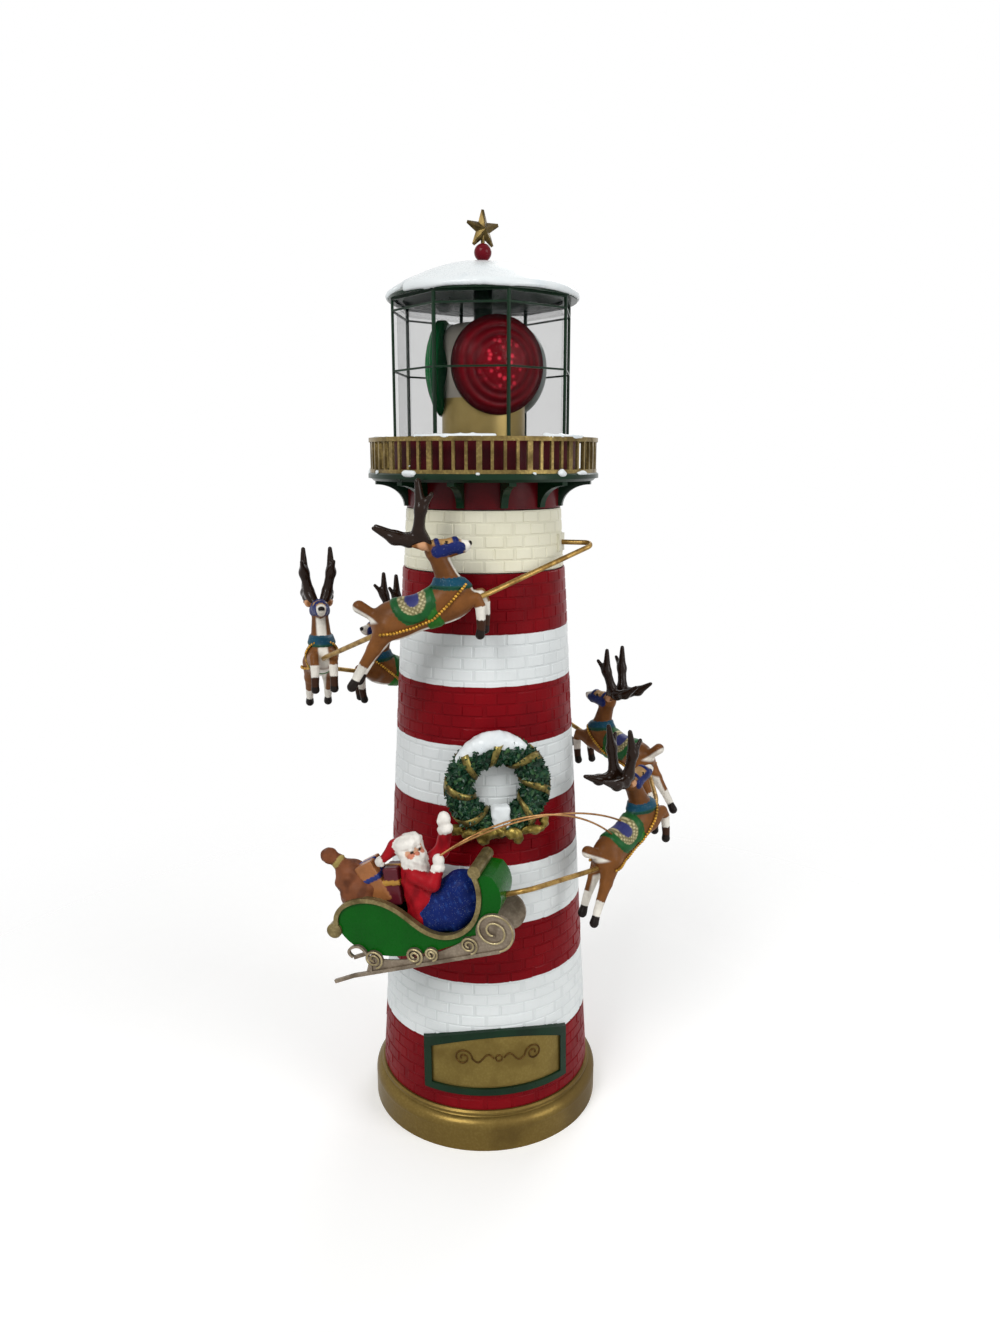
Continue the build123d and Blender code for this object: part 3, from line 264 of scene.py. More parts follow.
def tower_paint(name, groove):
    """Red and white bands masked round the tower, with edges that waver a little."""
    finish = Finish(name, Specular_IOR_Level=0.05, Coat_Weight=0.03, Coat_Roughness=0.16)
    z = finish.axis("Z") + (finish.noise(130.0, 2.0) - 0.5) * 0.0007
    red = finish.step(z, 0.0, 0.00001)
    for index, edge in enumerate(stripe_edges[1:]):
        crossed = finish.step(z, (edge - 0.12) * MM, (edge + 0.12) * MM)
        red = red - crossed if index % 2 == 0 else red + crossed
    drift = finish.step(finish.noise(38.0), 0.3, 0.75)
    speck = finish.noise(700.0, 4.0)
    crimson = finish.mix(drift * 0.55, CRIMSON, CRIMSON_DEEP)
    white = finish.mix(drift * 0.35, COOL_WHITE, tone("#cdd3d4"))
    brick = finish.attribute("brick_tone", "Fac")
    color = finish.mix(red, white, crimson)
    shade = (brick - 0.5) * 0.10 + (speck - 0.5) * 0.06 + groove
    # Joint colour: dark joints and dirt with painted shade of the recess, grey on the white bands and near
    # black on the red.
    joint_dirt_and_shade = finish.mix(red, tone("#7d8586"), tone("#120608"))
    finish.set("Base Color", finish.mix(shade, color, joint_dirt_and_shade))
    finish.set("Roughness", speck * 0.14 + drift * 0.08 + 0.24)
    return finish.bump(speck + drift, 0.10, 0.0004).material


def cream_paint(name, groove):
    """Cream of the turning collar, toned brick by brick."""
    finish = Finish(name, Specular_IOR_Level=0.08, Coat_Weight=0.05, Coat_Roughness=0.18)
    drift = finish.step(finish.noise(45.0), 0.3, 0.75)
    speck = finish.noise(700.0, 4.0)
    brick = finish.attribute("brick_tone", "Fac")
    cream = finish.mix(drift * 0.5, CREAM, tone("#d8d3b8"))
    shade = (brick - 0.5) * 0.08 + (speck - 0.5) * 0.05 + groove
    # Joint colour: dark joints and dirt with painted shade of the recess, toward a dark brown-grey.
    finish.set("Base Color", finish.mix(shade, cream, tone("#4b442f")))
    finish.set("Roughness", speck * 0.14 + drift * 0.08 + 0.26)
    return finish.bump(speck + drift, 0.10, 0.0004).material


def snow_paint(name):
    """Thick gloss white, with painted blue-grey shade in soft noise patches that stand for hollows, and a few
    grains.
    """
    finish = Finish(name, Coat_Weight=0.35, Coat_Roughness=0.1)
    # Painted shade: a blue-grey tint laid in soft noise patches as shaded hollows.
    hollow_shade = finish.step(finish.noise(140.0, 3.0), 0.45, 0.8)
    grain = finish.noise(1500.0, 2.0)
    finish.set("Base Color", finish.mix(hollow_shade * 0.45, SNOW, tone("#c9d4da")))
    finish.set("Roughness", grain * 0.2 + 0.18)
    return finish.bump(grain * 0.5 + hollow_shade, 0.22, 0.0006).material


def clear_plastic(name, tint, face, edge, rough=0.04):
    """Thin clear wall: faint square on, firmer at a glancing angle."""
    finish = Finish(name, Base_Color=tint, IOR=1.45)
    facing = finish.node("LayerWeight", None, {"Blend": 0.32}, "Facing")
    smear = finish.noise(60.0, 3.0)
    finish.set("Alpha", facing * (edge - face) + smear * 0.03 + face)
    finish.set("Roughness", smear * 0.06 + rough)
    return finish.material


def lens_plastic(name, color, deep, bright):
    """Moulded lens colour, with painted shade at its rim and in its ring troughs, painted glints in its
    faceted heart and a faint painted glow.
    """
    finish = Finish(name, Specular_IOR_Level=0.04, Coat_Weight=0.05, Coat_Roughness=0.03, IOR=1.5)
    # Painted shade: the stored ring share darkens the rim and the ring troughs towards the deep tone.
    rings = finish.attribute("lens_ring_shade", "Fac")
    heart = finish.attribute("lens_heart", "Fac")
    swirl = finish.noise(150.0, 2.0)
    facets = finish.cells(300.0)
    # Painted glints: bright spots on the facets of the heart.
    glint = finish.step(facets, 0.42, 0.12) * heart
    shade = finish.mix(rings + (swirl - 0.5) * 0.35, color, deep)
    shade = finish.mix(glint * 0.75, shade, bright)
    finish.set("Base Color", shade)
    finish.set("Roughness", swirl * 0.08 + 0.12)
    # Painted glow: a faint emission in the lens's own colour, though the lens is no lamp.
    finish.set("Emission Color", shade)
    finish.set("Emission Strength", 0.06)
    return finish.bump(facets * heart + swirl * 0.3, 0.3, 0.0008).material


def sculpted(name, rough=0.42, coat=0.0, bump=0.25, glitter=0.0):
    """Hand paint that follows the colours laid on the sculpt's own points."""
    finish = Finish(name, Coat_Weight=coat, Coat_Roughness=0.15)
    paint = finish.attribute("paint")
    wash = finish.step(finish.noise(170.0, 4.0), 0.35, 0.72)
    speck = finish.noise(650.0, 5.0)
    darker = finish.mix(0.55, paint, tone("#160b06"))
    color = finish.mix(wash * 0.42 + (speck - 0.5) * 0.45, paint, darker)
    if glitter:
        flake = finish.step(finish.cells(1700.0), 0.16, 0.05) * finish.attribute("glitter", "Fac")
        color = finish.mix(flake * glitter, color, tone("#b9c7d6"))
    finish.set("Base Color", color)
    finish.set("Roughness", speck * 0.2 + (rough - 0.1))
    return finish.bump(speck + wash * 0.5, bump, 0.0005).material


# Mesh helpers
def linked(name, data):
    """Scene object that holds a mesh, a lamp or a camera."""
    made = bpy.data.objects.new(name, data)
    bpy.context.scene.collection.objects.link(made)
    return made


def new_piece(name, mesh, material, body, replaced=(), slot=None, smooth=True):
    piece = linked(name, mesh)
    if material is not None:
        mesh.materials.clear()
        mesh.materials.append(material)
    mesh.shade_smooth() if smooth else mesh.shade_flat()
    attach(piece, body)
    if replaced:
        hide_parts(*replaced)
    return piece


def raw_mesh(name, points, edges=(), faces=()):
    """Mesh of points given in metres."""
    mesh = bpy.data.meshes.new(name)
    mesh.from_pydata(points, edges, faces)
    return mesh


def mesh_from(name, points, faces):
    """Mesh of points given in millimetres."""
    faces = [list(map(int, face)) for face in faces]
    mesh = raw_mesh(name, (np.asarray(points, float) * MM).tolist(), (), faces)
    mesh.update()
    return mesh


def path_mesh(name, paths):
    """Edges along paths given in millimetres."""
    points, edges = [], []
    for path in paths:
        edges += [(len(points) + k, len(points) + k + 1) for k in range(len(path) - 1)]
        points += [tuple(np.asarray(p) * MM) for p in path]
    return raw_mesh(name + "_paths", points, edges)


def store(mesh, name, values):
    """Keeps one colour or one number for each point of the mesh."""
    values = np.asarray(values, np.float32)
    if values.ndim == 2:
        mesh.attributes.new(name, "FLOAT_COLOR", "POINT").data.foreach_set("color", values.ravel())
    else:
        mesh.attributes.new(name, "FLOAT", "POINT").data.foreach_set("value", values)


def polar(azimuth, distance, z):
    """Spot about the tower's axis, with azimuth 0 at the front."""
    turn = math.radians(azimuth)
    return np.array((distance * math.sin(turn), -distance * math.cos(turn), z))


def stand(place):
    """Turning matrix and origin of a figure's own frame: forward, left and up."""
    azimuth, distance, z, heading, climb = place
    yaw, pitch = math.radians(heading), math.radians(climb)
    flat = np.array((math.cos(yaw), math.sin(yaw), 0.0))
    forward = flat * math.cos(pitch) + np.array((0, 0, math.sin(pitch)))
    up = flat * -math.sin(pitch) + np.array((0, 0, math.cos(pitch)))
    return np.stack([forward, np.cross(up, forward), up], 1), polar(azimuth, distance, z)


def placed(points, place):
    turn, origin = stand(place)
    return np.asarray(points) @ turn.T + origin


# Clay: lumps of simple shapes, blended and skinned as one quad mesh
def grid(low, high, step):
    axes = [np.arange(a, b + step, step) for a, b in zip(low, high)]
    return np.stack(np.meshgrid(*axes, indexing="ij"), -1)


def rod(points, a, b, ra, rb):
    """Distance to a tapered round rod."""
    a, b = np.asarray(a, float), np.asarray(b, float)
    run = b - a
    share = np.clip(((points - a) @ run) / (run @ run), 0, 1)
    return np.linalg.norm(points - a - share[..., None] * run, axis=-1) - (ra + share * (rb - ra))


def egg(points, center, radii):
    """Distance to an ellipsoid, near enough for blending."""
    local = (points - np.asarray(center, float)) / np.asarray(radii, float)
    length = np.linalg.norm(local, axis=-1) + 1e-9
    slope = np.linalg.norm(local / np.asarray(radii, float), axis=-1) + 1e-9
    return length * (length - 1) / slope


def parcel(points, half, round_edge):
    """Distance to a box with rounded edges."""
    over = np.abs(points) - (half - round_edge)
    return np.linalg.norm(np.maximum(over, 0), axis=-1) + np.minimum(over.max(-1), 0) - round_edge


def hoop(points, center, axis, radius, thickness):
    """Distance to a round ring."""
    axis = np.asarray(axis, float) / np.linalg.norm(axis)
    local = points - np.asarray(center, float)
    along = local @ axis
    across = np.linalg.norm(local - along[..., None] * axis, axis=-1)
    return np.hypot(across - radius, along) - thickness


def melt(first, second, soft):
    """Union of two lumps with a soft fillet between them."""
    share = np.clip(0.5 + 0.5 * (second - first) / soft, 0, 1)
    return second + (first - second) * share - soft * share * (1 - share)


def trimmed(first, second, soft):
    """Overlap of two lumps with rounded edges."""
    return -melt(-first, -second, soft)


def ripple(points, length, seed):
    """Smooth seeded unevenness from about -1 to 1."""
    waves = 6
    luck = np.random.default_rng(seed)
    total = np.zeros(points.shape[:-1])
    for _ in range(waves):
        way = luck.normal(size=3)
        way *= luck.uniform(0.6, 1.5) * 2 * math.pi / length / np.linalg.norm(way)
        total += np.sin(points @ way + luck.uniform(0, 2 * math.pi))
    return total / waves * 1.6


def skin(field, low, step, smoothing=2):
    """Quad mesh of the zero surface, one point in each cell that it crosses."""
    inside = field < 0
    size = np.array(field.shape) - 1
    corners = [np.array((i, j, k)) for i in (0, 1) for j in (0, 1) for k in (0, 1)]
    count = sum(inside[tuple(map(slice, c, c + size))].astype(int) for c in corners)
    cells = np.argwhere((count > 0) & (count < 8))
    index = np.full(size, -1)
    index[tuple(cells.T)] = np.arange(len(cells))
    total, hits = np.zeros((len(cells), 3)), np.zeros(len(cells))
    for first in corners:
        for axis in range(3):
            if first[axis]:
                continue
            second = first.copy()
            second[axis] = 1
            fa, fb = field[tuple((cells + first).T)], field[tuple((cells + second).T)]
            cross = (fa < 0) != (fb < 0)
            share = np.where(cross, fa / np.where(cross, fa - fb, 1), 0)
            spot = cells + first + share[:, None] * (second - first)
            total += np.where(cross[:, None], spot, 0)
            hits += cross
    points = total / hits[:, None]
    quads = []
    for axis in range(3):
        u, v = (axis + 1) % 3, (axis + 2) % 3
        here = np.take(inside, range(field.shape[axis] - 1), axis)
        there = np.take(inside, range(1, field.shape[axis]), axis)
        edges = np.argwhere(here != there)
        edges = edges[np.all([(edges[:, w] > 0) & (edges[:, w] < size[w]) for w in (u, v)], 0)]
        leaving = here[tuple(edges.T)]
        ring = []
        for du, dv in ((-1, -1), (0, -1), (0, 0), (-1, 0)):
            cell = edges.copy()
            cell[:, u] += du
            cell[:, v] += dv
            ring.append(index[tuple(cell.T)])
        ring = np.stack(ring, 1)
        quads.append(np.where(leaving[:, None], ring, ring[:, ::-1]))
    quads = np.concatenate(quads)
    points = points * step + np.asarray(low, float)
    return relaxed(points, quads, smoothing), quads


def relaxed(points, quads, rounds):
    """Evens out a skin by drawing each point to the middle of its neighbours."""
    pairs = np.concatenate([quads[:, [k, (k + 1) % 4]] for k in range(4)])
    for _ in range(rounds):
        total, hits = np.zeros_like(points), np.zeros(len(points))
        for a, b in ((0, 1), (1, 0)):
            np.add.at(total, pairs[:, a], points[pairs[:, b]])
            np.add.at(hits, pairs[:, a], 1)
        points = points * 0.45 + total / hits[:, None] * 0.55
    return points


class Clay:
    """A figure modelled from blended lumps, each with its own colour."""

    def __init__(self, soft):
        self.soft = soft
        self.lumps = []
        self.view = None

    def add(self, shape, color, soft=None, fuzz=0.0, grain=3.0):
        self.lumps.append((shape, color, self.soft if soft is None else soft, fuzz, grain))

    def rod(self, near, far, color, **more):
        """A tapered rod between two spots, each given as x, y, z and radius."""
        view = self.view or (lambda p: p)
        self.add(lambda p: rod(view(p), near[:3], far[:3], near[3], far[3]), color, **more)

    def egg(self, center, radii, color, **more):
        view = self.view or (lambda p: p)
        self.add(lambda p: egg(view(p), center, radii), color, **more)

    def fields(self, points):
        for number, (shape, color, soft, fuzz, grain) in enumerate(self.lumps):
            field = shape(points)
            yield (field + fuzz * ripple(points, grain, number) if fuzz else field), color, soft

    def field(self, points):
        total = None
        for field, _, soft in self.fields(points):
            total = field if total is None else melt(total, field, soft)
        return total

    def colors(self, points):
        """Colour of the lump nearest to each point."""
        best, paint = np.full(len(points), np.inf), np.zeros((len(points), 4))
        for field, color, _ in self.fields(points):
            near = field < best
            paint[near] = color(points[near]) if callable(color) else color
            best[near] = field[near]
        return paint

    def surface(self, low, high, step, smoothing=1):
        points, quads = skin(self.field(grid(low, high, step)), low, step, smoothing)
        return points, quads, self.colors(points)


def remembered(shape):
    """Keeps the last field of a shape, since several trims ask for it."""
    kept = {}

    def field(points):
        if kept.get("points") is not points:
            kept["points"], kept["field"] = points, shape(points)
        return kept["field"]

    return field


def blend(share, first, second):
    share = np.clip(np.asarray(share), 0, 1)[:, None]
    return np.asarray(first) * (1 - share) + np.asarray(second) * share


def soft_step(value, low, high):
    share = np.clip((value - low) / (high - low), 0, 1)
    return share * share * (3 - 2 * share)


def lathe(profile, turns, axis_place):
    """Closed turned mesh of (radius, height) points that start and end on the axis."""
    points, faces = [], []
    rings = [p for p in profile if p[0] > 1e-6]
    for radius, height in rings:
        for k in range(turns):
            angle = 2 * math.pi * k / turns
            points.append((radius * math.cos(angle), radius * math.sin(angle), height))
    for ring in range(len(rings) - 1):
        for k in range(turns):
            a, b = ring * turns + k, ring * turns + (k + 1) % turns
            faces.append((a, b, b + turns, a + turns))
    low, high = len(points), len(points) + 1
    points += [(0, 0, profile[0][1]), (0, 0, profile[-1][1])]
    last = (len(rings) - 1) * turns
    for k in range(turns):
        faces.append((low, (k + 1) % turns, k))
        faces.append((high, last + k, last + (k + 1) % turns))
    return axis_place(np.array(points)), faces


# Geometry Nodes
class Tree:
    """A Geometry Nodes tree with named sizes, turned into a plain mesh at once."""

    def __init__(self, name, seed=None):
        self.seed = seed or bpy.data.meshes.new(name + "_seed")
        self.tree = bpy.data.node_groups.new(name, "GeometryNodeTree")
        self.tree.interface.new_socket("Geometry", in_out="INPUT", socket_type="NodeSocketGeometry")
        self.tree.interface.new_socket("Geometry", in_out="OUTPUT", socket_type="NodeSocketGeometry")
        self.entry = self.tree.nodes.new("NodeGroupInput")
        self.values = {}

    def size(self, name, value, kind="NodeSocketFloat"):
        made = self.tree.interface.new_socket(name, in_out="INPUT", socket_type=kind)
        self.values[made.identifier] = value
        return self.entry.outputs[name]

    def node(self, kind, settings=None, sockets=None):
        made = self.tree.nodes.new(kind)
        for key, value in (settings or {}).items():
            setattr(made, key, value)
        for key, value in (sockets or {}).items():
            if isinstance(value, bpy.types.NodeSocket):
                self.tree.links.new(value, made.inputs[key])
            else:
                made.inputs[key].default_value = value
        return made

    def math(self, operation, *values):
        return self.node("ShaderNodeMath", {"operation": operation}, dict(enumerate(values))).outputs[0]

    def vector(self, x, y, z):
        return self.node("ShaderNodeCombineXYZ", None, {0: x, 1: y, 2: z}).outputs[0]

    def random(self, low, high, seed):
        made = self.node("FunctionNodeRandomValue", {"data_type": "FLOAT"}, {2: low, 3: high, "Seed": seed})
        return made.outputs[1]

    def made(self, kind, settings=None, **sockets):
        """First output of a geometry node whose sockets are named with _ for a space."""
        sockets = {key.replace("_", " "): value for key, value in sockets.items()}
        return self.node("GeometryNode" + kind, settings, sockets).outputs[0]

    def shape(self, unit):
        return self.node("GeometryNodeObjectInfo", None, {"Object": unit}).outputs["Geometry"]

    def tagged(self, geometry, name, value):
        """Keeps one number for each instance."""
        settings = {"data_type": "FLOAT", "domain": "INSTANCE"}
        return self.made("StoreNamedAttribute", settings, Geometry=geometry, Name=name, Value=value)

    def mesh(self, name, geometry, material):
        """Ends the tree, runs it once and returns the plain mesh that it makes."""
        real = self.made("RealizeInstances", Geometry=geometry)
        dressed = self.made("SetMaterial", Geometry=real, Material=material)
        self.node("NodeGroupOutput", None, {0: dressed})
        holder = linked(name + "_maker", self.seed)
        modifier = holder.modifiers.new(name, "NODES")
        modifier.node_group = self.tree
        for identifier, value in self.values.items():
            modifier[identifier] = value
        made = bpy.data.meshes.new_from_object(holder.evaluated_get(bpy.context.evaluated_depsgraph_get()))
        bpy.data.objects.remove(holder)
        made.name = name
        return made


# Bricks
def brick_unit():
    """One brick of unit size: a pillowed face, drawn in at its joints, and a flat back."""
    xs, zs = (-0.5, -0.46, -0.16, 0.16, 0.46, 0.5), (-0.5, -0.42, 0.42, 0.5)
    points, faces = [], []
    for row, z in enumerate(zs):
        for column, x in enumerate(xs):
            rim = row in (0, len(zs) - 1) or column in (0, len(xs) - 1)
            points.append((x, -0.35 if rim else 1.0, z))
    width = len(xs)
    for row in range(len(zs) - 1):
        for column in range(width - 1):
            a = row * width + column
            faces.append((a, a + 1, a + 1 + width, a + width))
    last = (len(zs) - 1) * width
    rim = list(range(width)) + [width * r + width - 1 for r in range(1, len(zs) - 1)]
    rim += list(range(last + width - 1, last - 1, -1)) + [width * r for r in range(len(zs) - 2, 0, -1)]
    faces.append(tuple(reversed(rim)))
    return linked("brick_unit", raw_mesh("brick_unit", points, (), faces))


def brick_wall(name, low, high, low_radius, high_radius, seed, material):
    """Courses of bricks laid flat as angle and height, then wrapped round a taper."""
    unit = brick_unit()
    courses = max(1, round((high - low) / brick_course))
    tree = Tree(name)
    add, subtract, times, over, rest = (
        partial(tree.math, kind) for kind in ("ADD", "SUBTRACT", "MULTIPLY", "DIVIDE", "MODULO")
    )
    columns = tree.size("Columns", float(brick_columns))
    course = tree.size("Course Height", (high - low) / courses * MM)
    joint = tree.size("Joint", brick_joint * MM)
    relief = tree.size("Relief", brick_relief * MM)
    foot = tree.size("Foot Radius", low_radius * MM)
    head = tree.size("Head Radius", high_radius * MM)
    base = tree.size("Low", low * MM)
    top = tree.size("High", high * MM)
    count = tree.size("Bricks", courses * brick_columns, "NodeSocketInt")
    index = tree.node("GeometryNodeInputIndex").outputs[0]
    row = tree.math("FLOOR", over(index, columns))
    shift = add(add(rest(index, columns), times(rest(row, 2.0), 0.5)), tree.random(-0.07, 0.07, seed))
    pitch = over(2 * math.pi, columns)
    height = add(base, times(add(row, 0.5), course))
    spots = tree.made(
        "SetPosition",
        Geometry=tree.made("MeshLine", Count=count),
        Position=tree.vector(times(shift, pitch), 0.0, height),
    )
    length = subtract(pitch, over(joint, times(add(foot, head), 0.5)))
    length = times(length, tree.random(0.93, 1.0, seed + 1))
    proud = times(relief, tree.random(0.35, 1.0, seed + 2))
    bricks = tree.made(
        "InstanceOnPoints",
        Points=spots,
        Instance=tree.shape(unit),
        Scale=tree.vector(length, proud, subtract(course, joint)),
    )
    toned = tree.tagged(bricks, "brick_tone", tree.random(0.0, 1.0, seed + 3))
    real = tree.made("RealizeInstances", Geometry=toned)
    split = tree.node("ShaderNodeSeparateXYZ", None, {0: tree.made("InputPosition")})
    turn, depth, z = split.outputs
    rise = over(subtract(z, base), subtract(top, base))
    radius = add(add(foot, times(rise, subtract(head, foot))), depth)
    x = times(radius, tree.math("SINE", turn))
    y = times(radius, times(tree.math("COSINE", turn), -1.0))
    wrapped = tree.made("SetPosition", Geometry=real, Position=tree.vector(x, y, z))
    made = tree.mesh(name, wrapped, material)
    bpy.data.objects.remove(unit)
    return made


def taper_of(node):
    """Lowest and highest place of a turned node's skin with its radius there, in millimetres."""
    points = np.array([v.co for v in nodes[node].data.vertices]) / MM
    reach = np.hypot(points[:, 0], points[:, 1])
    low, high = points[:, 2].min(), points[:, 2].max()
    return low, high, reach[points[:, 2] < low + 0.3].max(), reach[points[:, 2] > high - 0.3].max()


def dress_tower():
    for shell, bricks, body, slot, seed, paint, name, groove in (
        ("tower_shell", "tower_bricks", "tower", "tower_paint", 11, tower_paint, "banded_paint", 0.16),
        ("flight_collar", "collar_bricks", "flight", "cream_paint", 31, cream_paint, "cream_paint", 0.14),
    ):
        wall = brick_wall(bricks, *taper_of(shell), seed, paint(name, 0.0))
        new_piece(bricks, wall, None, body, slot=slot, smooth=False)
        # Each shell shows only in the joints between its bricks; its groove share gives it the joint colour,
        # dirt with painted shade.
        coat(paint(name + "_joints", groove), shell)


def coat(material, *names):
    """Gives CAD nodes their finish."""
    for name in names:
        mesh = nodes[name].data
        mesh.materials.clear()
        mesh.materials.append(material)


# Snow: drift and bare stretch of the roof, bank and patch of the wreath, drifts of the rail, dabs of the deck
snow_cell, wreath_snow_cell = 0.75, 0.7
drift_edge, drift_depth, drift_sink, drift_hang = 43.7, 2.9, 0.6, 1.2
bare_azimuth, bare_half, bare_fade, bare_cut = -75.0, 17.0, 4.0, 6.5
bank_ring, bank_y, bank_depth, bank_thin, bank_half, bank_lean = 21.0, -48.2, 4.8, 3.2, 50.0, 10.0
patch_place, patch_half = (0.8, -51.2, 166.2), (4.2, 2.8, 5.4)
rail_drifts = ((-21.0, 19.0, 1.7), (36.0, 13.0, 1.8), (128.0, 17.0, 1.6), (230.0, 24.0, 1.8))
deck_dabs = (
    (-70.0, 0.2, 1.0, 0.6),
    (-43.5, 2.4, 1.5, 3.2),
    (-9.6, 0.2, 1.0, 0.4),
    (17.0, 0.3, 0.9, 0.4),
    (32.6, 1.6, 1.3, 1.6),
    (47.3, 3.0, 1.0, 0.4),
    (150.0, 2.0, 1.3, 1.2),
    (262.0, 1.0, 1.2, 1.6),
)


def snow_piece(name, field, low, step, material, node):
    points, quads = skin(field, low, step)
    new_piece(name, mesh_from(name, points, quads), material, "tower", [node], "snow_white")


def make_roof_snow(material):
    """Smooth drift that hangs over the rim, but for one bare stretch."""
    low, high = (-45, -45, 388), (45, 45, 411)
    points = grid(low, high, snow_cell)
    reach = np.hypot(points[..., 0], points[..., 1])
    angle = np.arctan2(points[..., 0], -points[..., 1])
    roof = roof_top_z - (roof_top_z - roof_edge_z) * (reach / roof_radius) ** 2
    lumps = ripple(points * (1, 1, 0), 30.0, 3) * 0.45
    ring = np.stack([np.sin(angle), np.cos(angle), 0 * angle], -1) * 40
    bare = soft_step(bare_half - np.abs(np.degrees(angle) - bare_azimuth), 0, bare_fade)
    edge = drift_edge + 0.3 * ripple(ring, 18.0, 5) - bare_cut * bare
    top = roof + drift_depth + lumps * np.clip(reach / 14, 0, 1)
    under = np.where(reach < roof_radius + 0.1, roof - drift_sink, roof_edge_z - drift_hang)
    under = under + 0.3 * ripple(ring, 14.0, 8)
    field = trimmed(trimmed(points[..., 2] - top, under - points[..., 2], 1.4), reach - edge, 1.8)
    snow_piece("roof_drift", field, low, snow_cell, material, "roof_snow")


def arc_lump(points, azimuth, half_sweep, radius, z, thickness):
    """Distance to a round bank laid along an arc about the tower's axis."""
    reach = np.hypot(points[..., 0], points[..., 1])
    angle = np.degrees(np.arctan2(points[..., 0], -points[..., 1]))
    away = np.abs((angle - azimuth + 180) % 360 - 180) - half_sweep
    along = np.radians(np.clip(away, 0, None)) * radius
    return np.sqrt(along**2 + (reach - radius) ** 2 + (points[..., 2] - z) ** 2) - thickness


def make_rail_snow(material):
    low, high = (-56, -56, 309), (56, 56, 336)
    points = grid(low, high, snow_cell)
    field = np.full(points.shape[:3], 50.0)
    for azimuth, half, thickness in rail_drifts:
        field = np.minimum(field, arc_lump(points, azimuth, half, rail_middle, rail_top, thickness * 0.75))
    for azimuth, half, thickness, rise in deck_dabs:
        field = np.minimum(field, arc_lump(points, azimuth, half, deck_rim - 0.5, deck_top, thickness))
        peak = arc_lump(points, azimuth, 0.2, deck_rim - 0.6, deck_top + rise, thickness * 0.55)
        field = melt(field, peak, 1.6)
    field = field + ripple(points, 6.0, 12) * 0.3
    snow_piece("rail_drifts", field, low, snow_cell, material, "railing_snow")


# Wreath and bow
def ring_spot(theta, phi, tube):
    """Point of the wreath's round: theta runs round the ring and phi round its tube."""
    reach = wreath_ring + tube * math.cos(phi)
    x, y, z = wreath_center
    return np.array((x + reach * math.sin(theta), y - tube * math.sin(phi), z + reach * math.cos(theta)))


def leaf_unit():
    """A folded leaf of unit length that grows along +Z, with +Y as its face."""
    outline = ((0.0, 0.0), (0.22, 0.18), (0.30, 0.45), (0.20, 0.75), (0.0, 1.0))
    points = [(0.0, 0.10 + 0.1 * z, z) for _, z in outline]
    points += [(x, 0.0, z) for x, z in outline[1:-1]] + [(-x, 0.0, z) for x, z in outline[1:-1]]
    points += [(0.0, -0.07, 0.45)]
    faces = []
    for side, flip in ((5, False), (8, True)):
        strips = [(0, side, 1), (1, side, side + 1, 2), (2, side + 1, side + 2, 3), (3, side + 2, 4)]
        back = [(0, 11, side), (side, 11, side + 1), (side + 1, 11, side + 2), (side + 2, 11, 4)]
        for face in strips + back:
            faces.append(face if flip else tuple(reversed(face)))
    return linked("leaf_unit", raw_mesh("leaf_unit", points, (), faces))


def leafy_wreath(material):
    """Leaves set over a round ring, each leaning outwards with its own turn."""
    leaf = leaf_unit()
    tree = Tree("wreath_leaves")
    ring = tree.size("Ring Radius", wreath_ring * MM)
    tube = tree.size("Core Radius", wreath_core * MM)
    long = tree.size("Leaf Length", leaf_length * MM)
    density = tree.size("Leaves per Area", leaf_density)
    path = tree.made("CurvePrimitiveCircle", Resolution=64, Radius=ring)
    section = tree.made("CurvePrimitiveCircle", Resolution=16, Radius=tube)
    core = tree.made("CurveToMesh", Curve=path, Profile_Curve=section)
    sockets = {"Mesh": core, "Density": density, "Seed": 5}
    spots = tree.node("GeometryNodeDistributePointsOnFaces", None, sockets)
    sockets = {"Vector": spots.outputs["Normal"], "Factor": 1.0}
    lean = tree.node("FunctionNodeAlignRotationToVector", {"axis": "Y"}, sockets).outputs[0]
    turn = tree.random(0.0, 2 * math.pi, 3)
    spin = tree.vector(tree.random(-0.5, 0.05, 2), turn, tree.random(-0.4, 0.4, 4))
    sockets = {0: lean, 1: tree.node("FunctionNodeEulerToRotation", None, {0: spin}).outputs[0]}
    twist = tree.node("FunctionNodeRotateRotation", {"rotation_space": "LOCAL"}, sockets).outputs[0]
    scale = tree.math("MULTIPLY", long, tree.random(0.75, 1.25, 6))
    leaves = tree.made(
        "InstanceOnPoints",
        Points=spots.outputs[0],
        Instance=tree.shape(leaf),
        Rotation=twist,
        Scale=tree.vector(scale, scale, scale),
    )
    both = tree.node("GeometryNodeJoinGeometry")
    for part in (tree.tagged(leaves, "leaf_tone", tree.random(0.0, 1.0, 8)), core):
        tree.tree.links.new(part, both.inputs[0])
    stood = tree.made(
        "Transform",
        Geometry=both.outputs[0],
        Rotation=(math.pi / 2, 0.0, 0.0),
        Translation=tuple(c * MM for c in wreath_center),
    )
    made = tree.mesh("wreath_leaves", stood, material)
    bpy.data.objects.remove(leaf)
    return made


def leaf_finish():
    finish = Finish("wreath_leaf", Coat_Weight=0.25, Coat_Roughness=0.2)
    own = finish.attribute("leaf_tone", "Fac")
    speck = finish.noise(500.0, 4.0)
    color = finish.mix(own, PINE, LEAF)
    # Painted highlight: a lighter green on the leaves whose own tone and grain run highest.
    color = finish.mix(finish.step(own + speck, 1.15, 1.5) * 0.5, color, tone("#4c6a3a"))
    finish.set("Base Color", color)
    finish.set("Roughness", speck * 0.2 + 0.34)
    return finish.bump(speck, 0.3, 0.0005).material


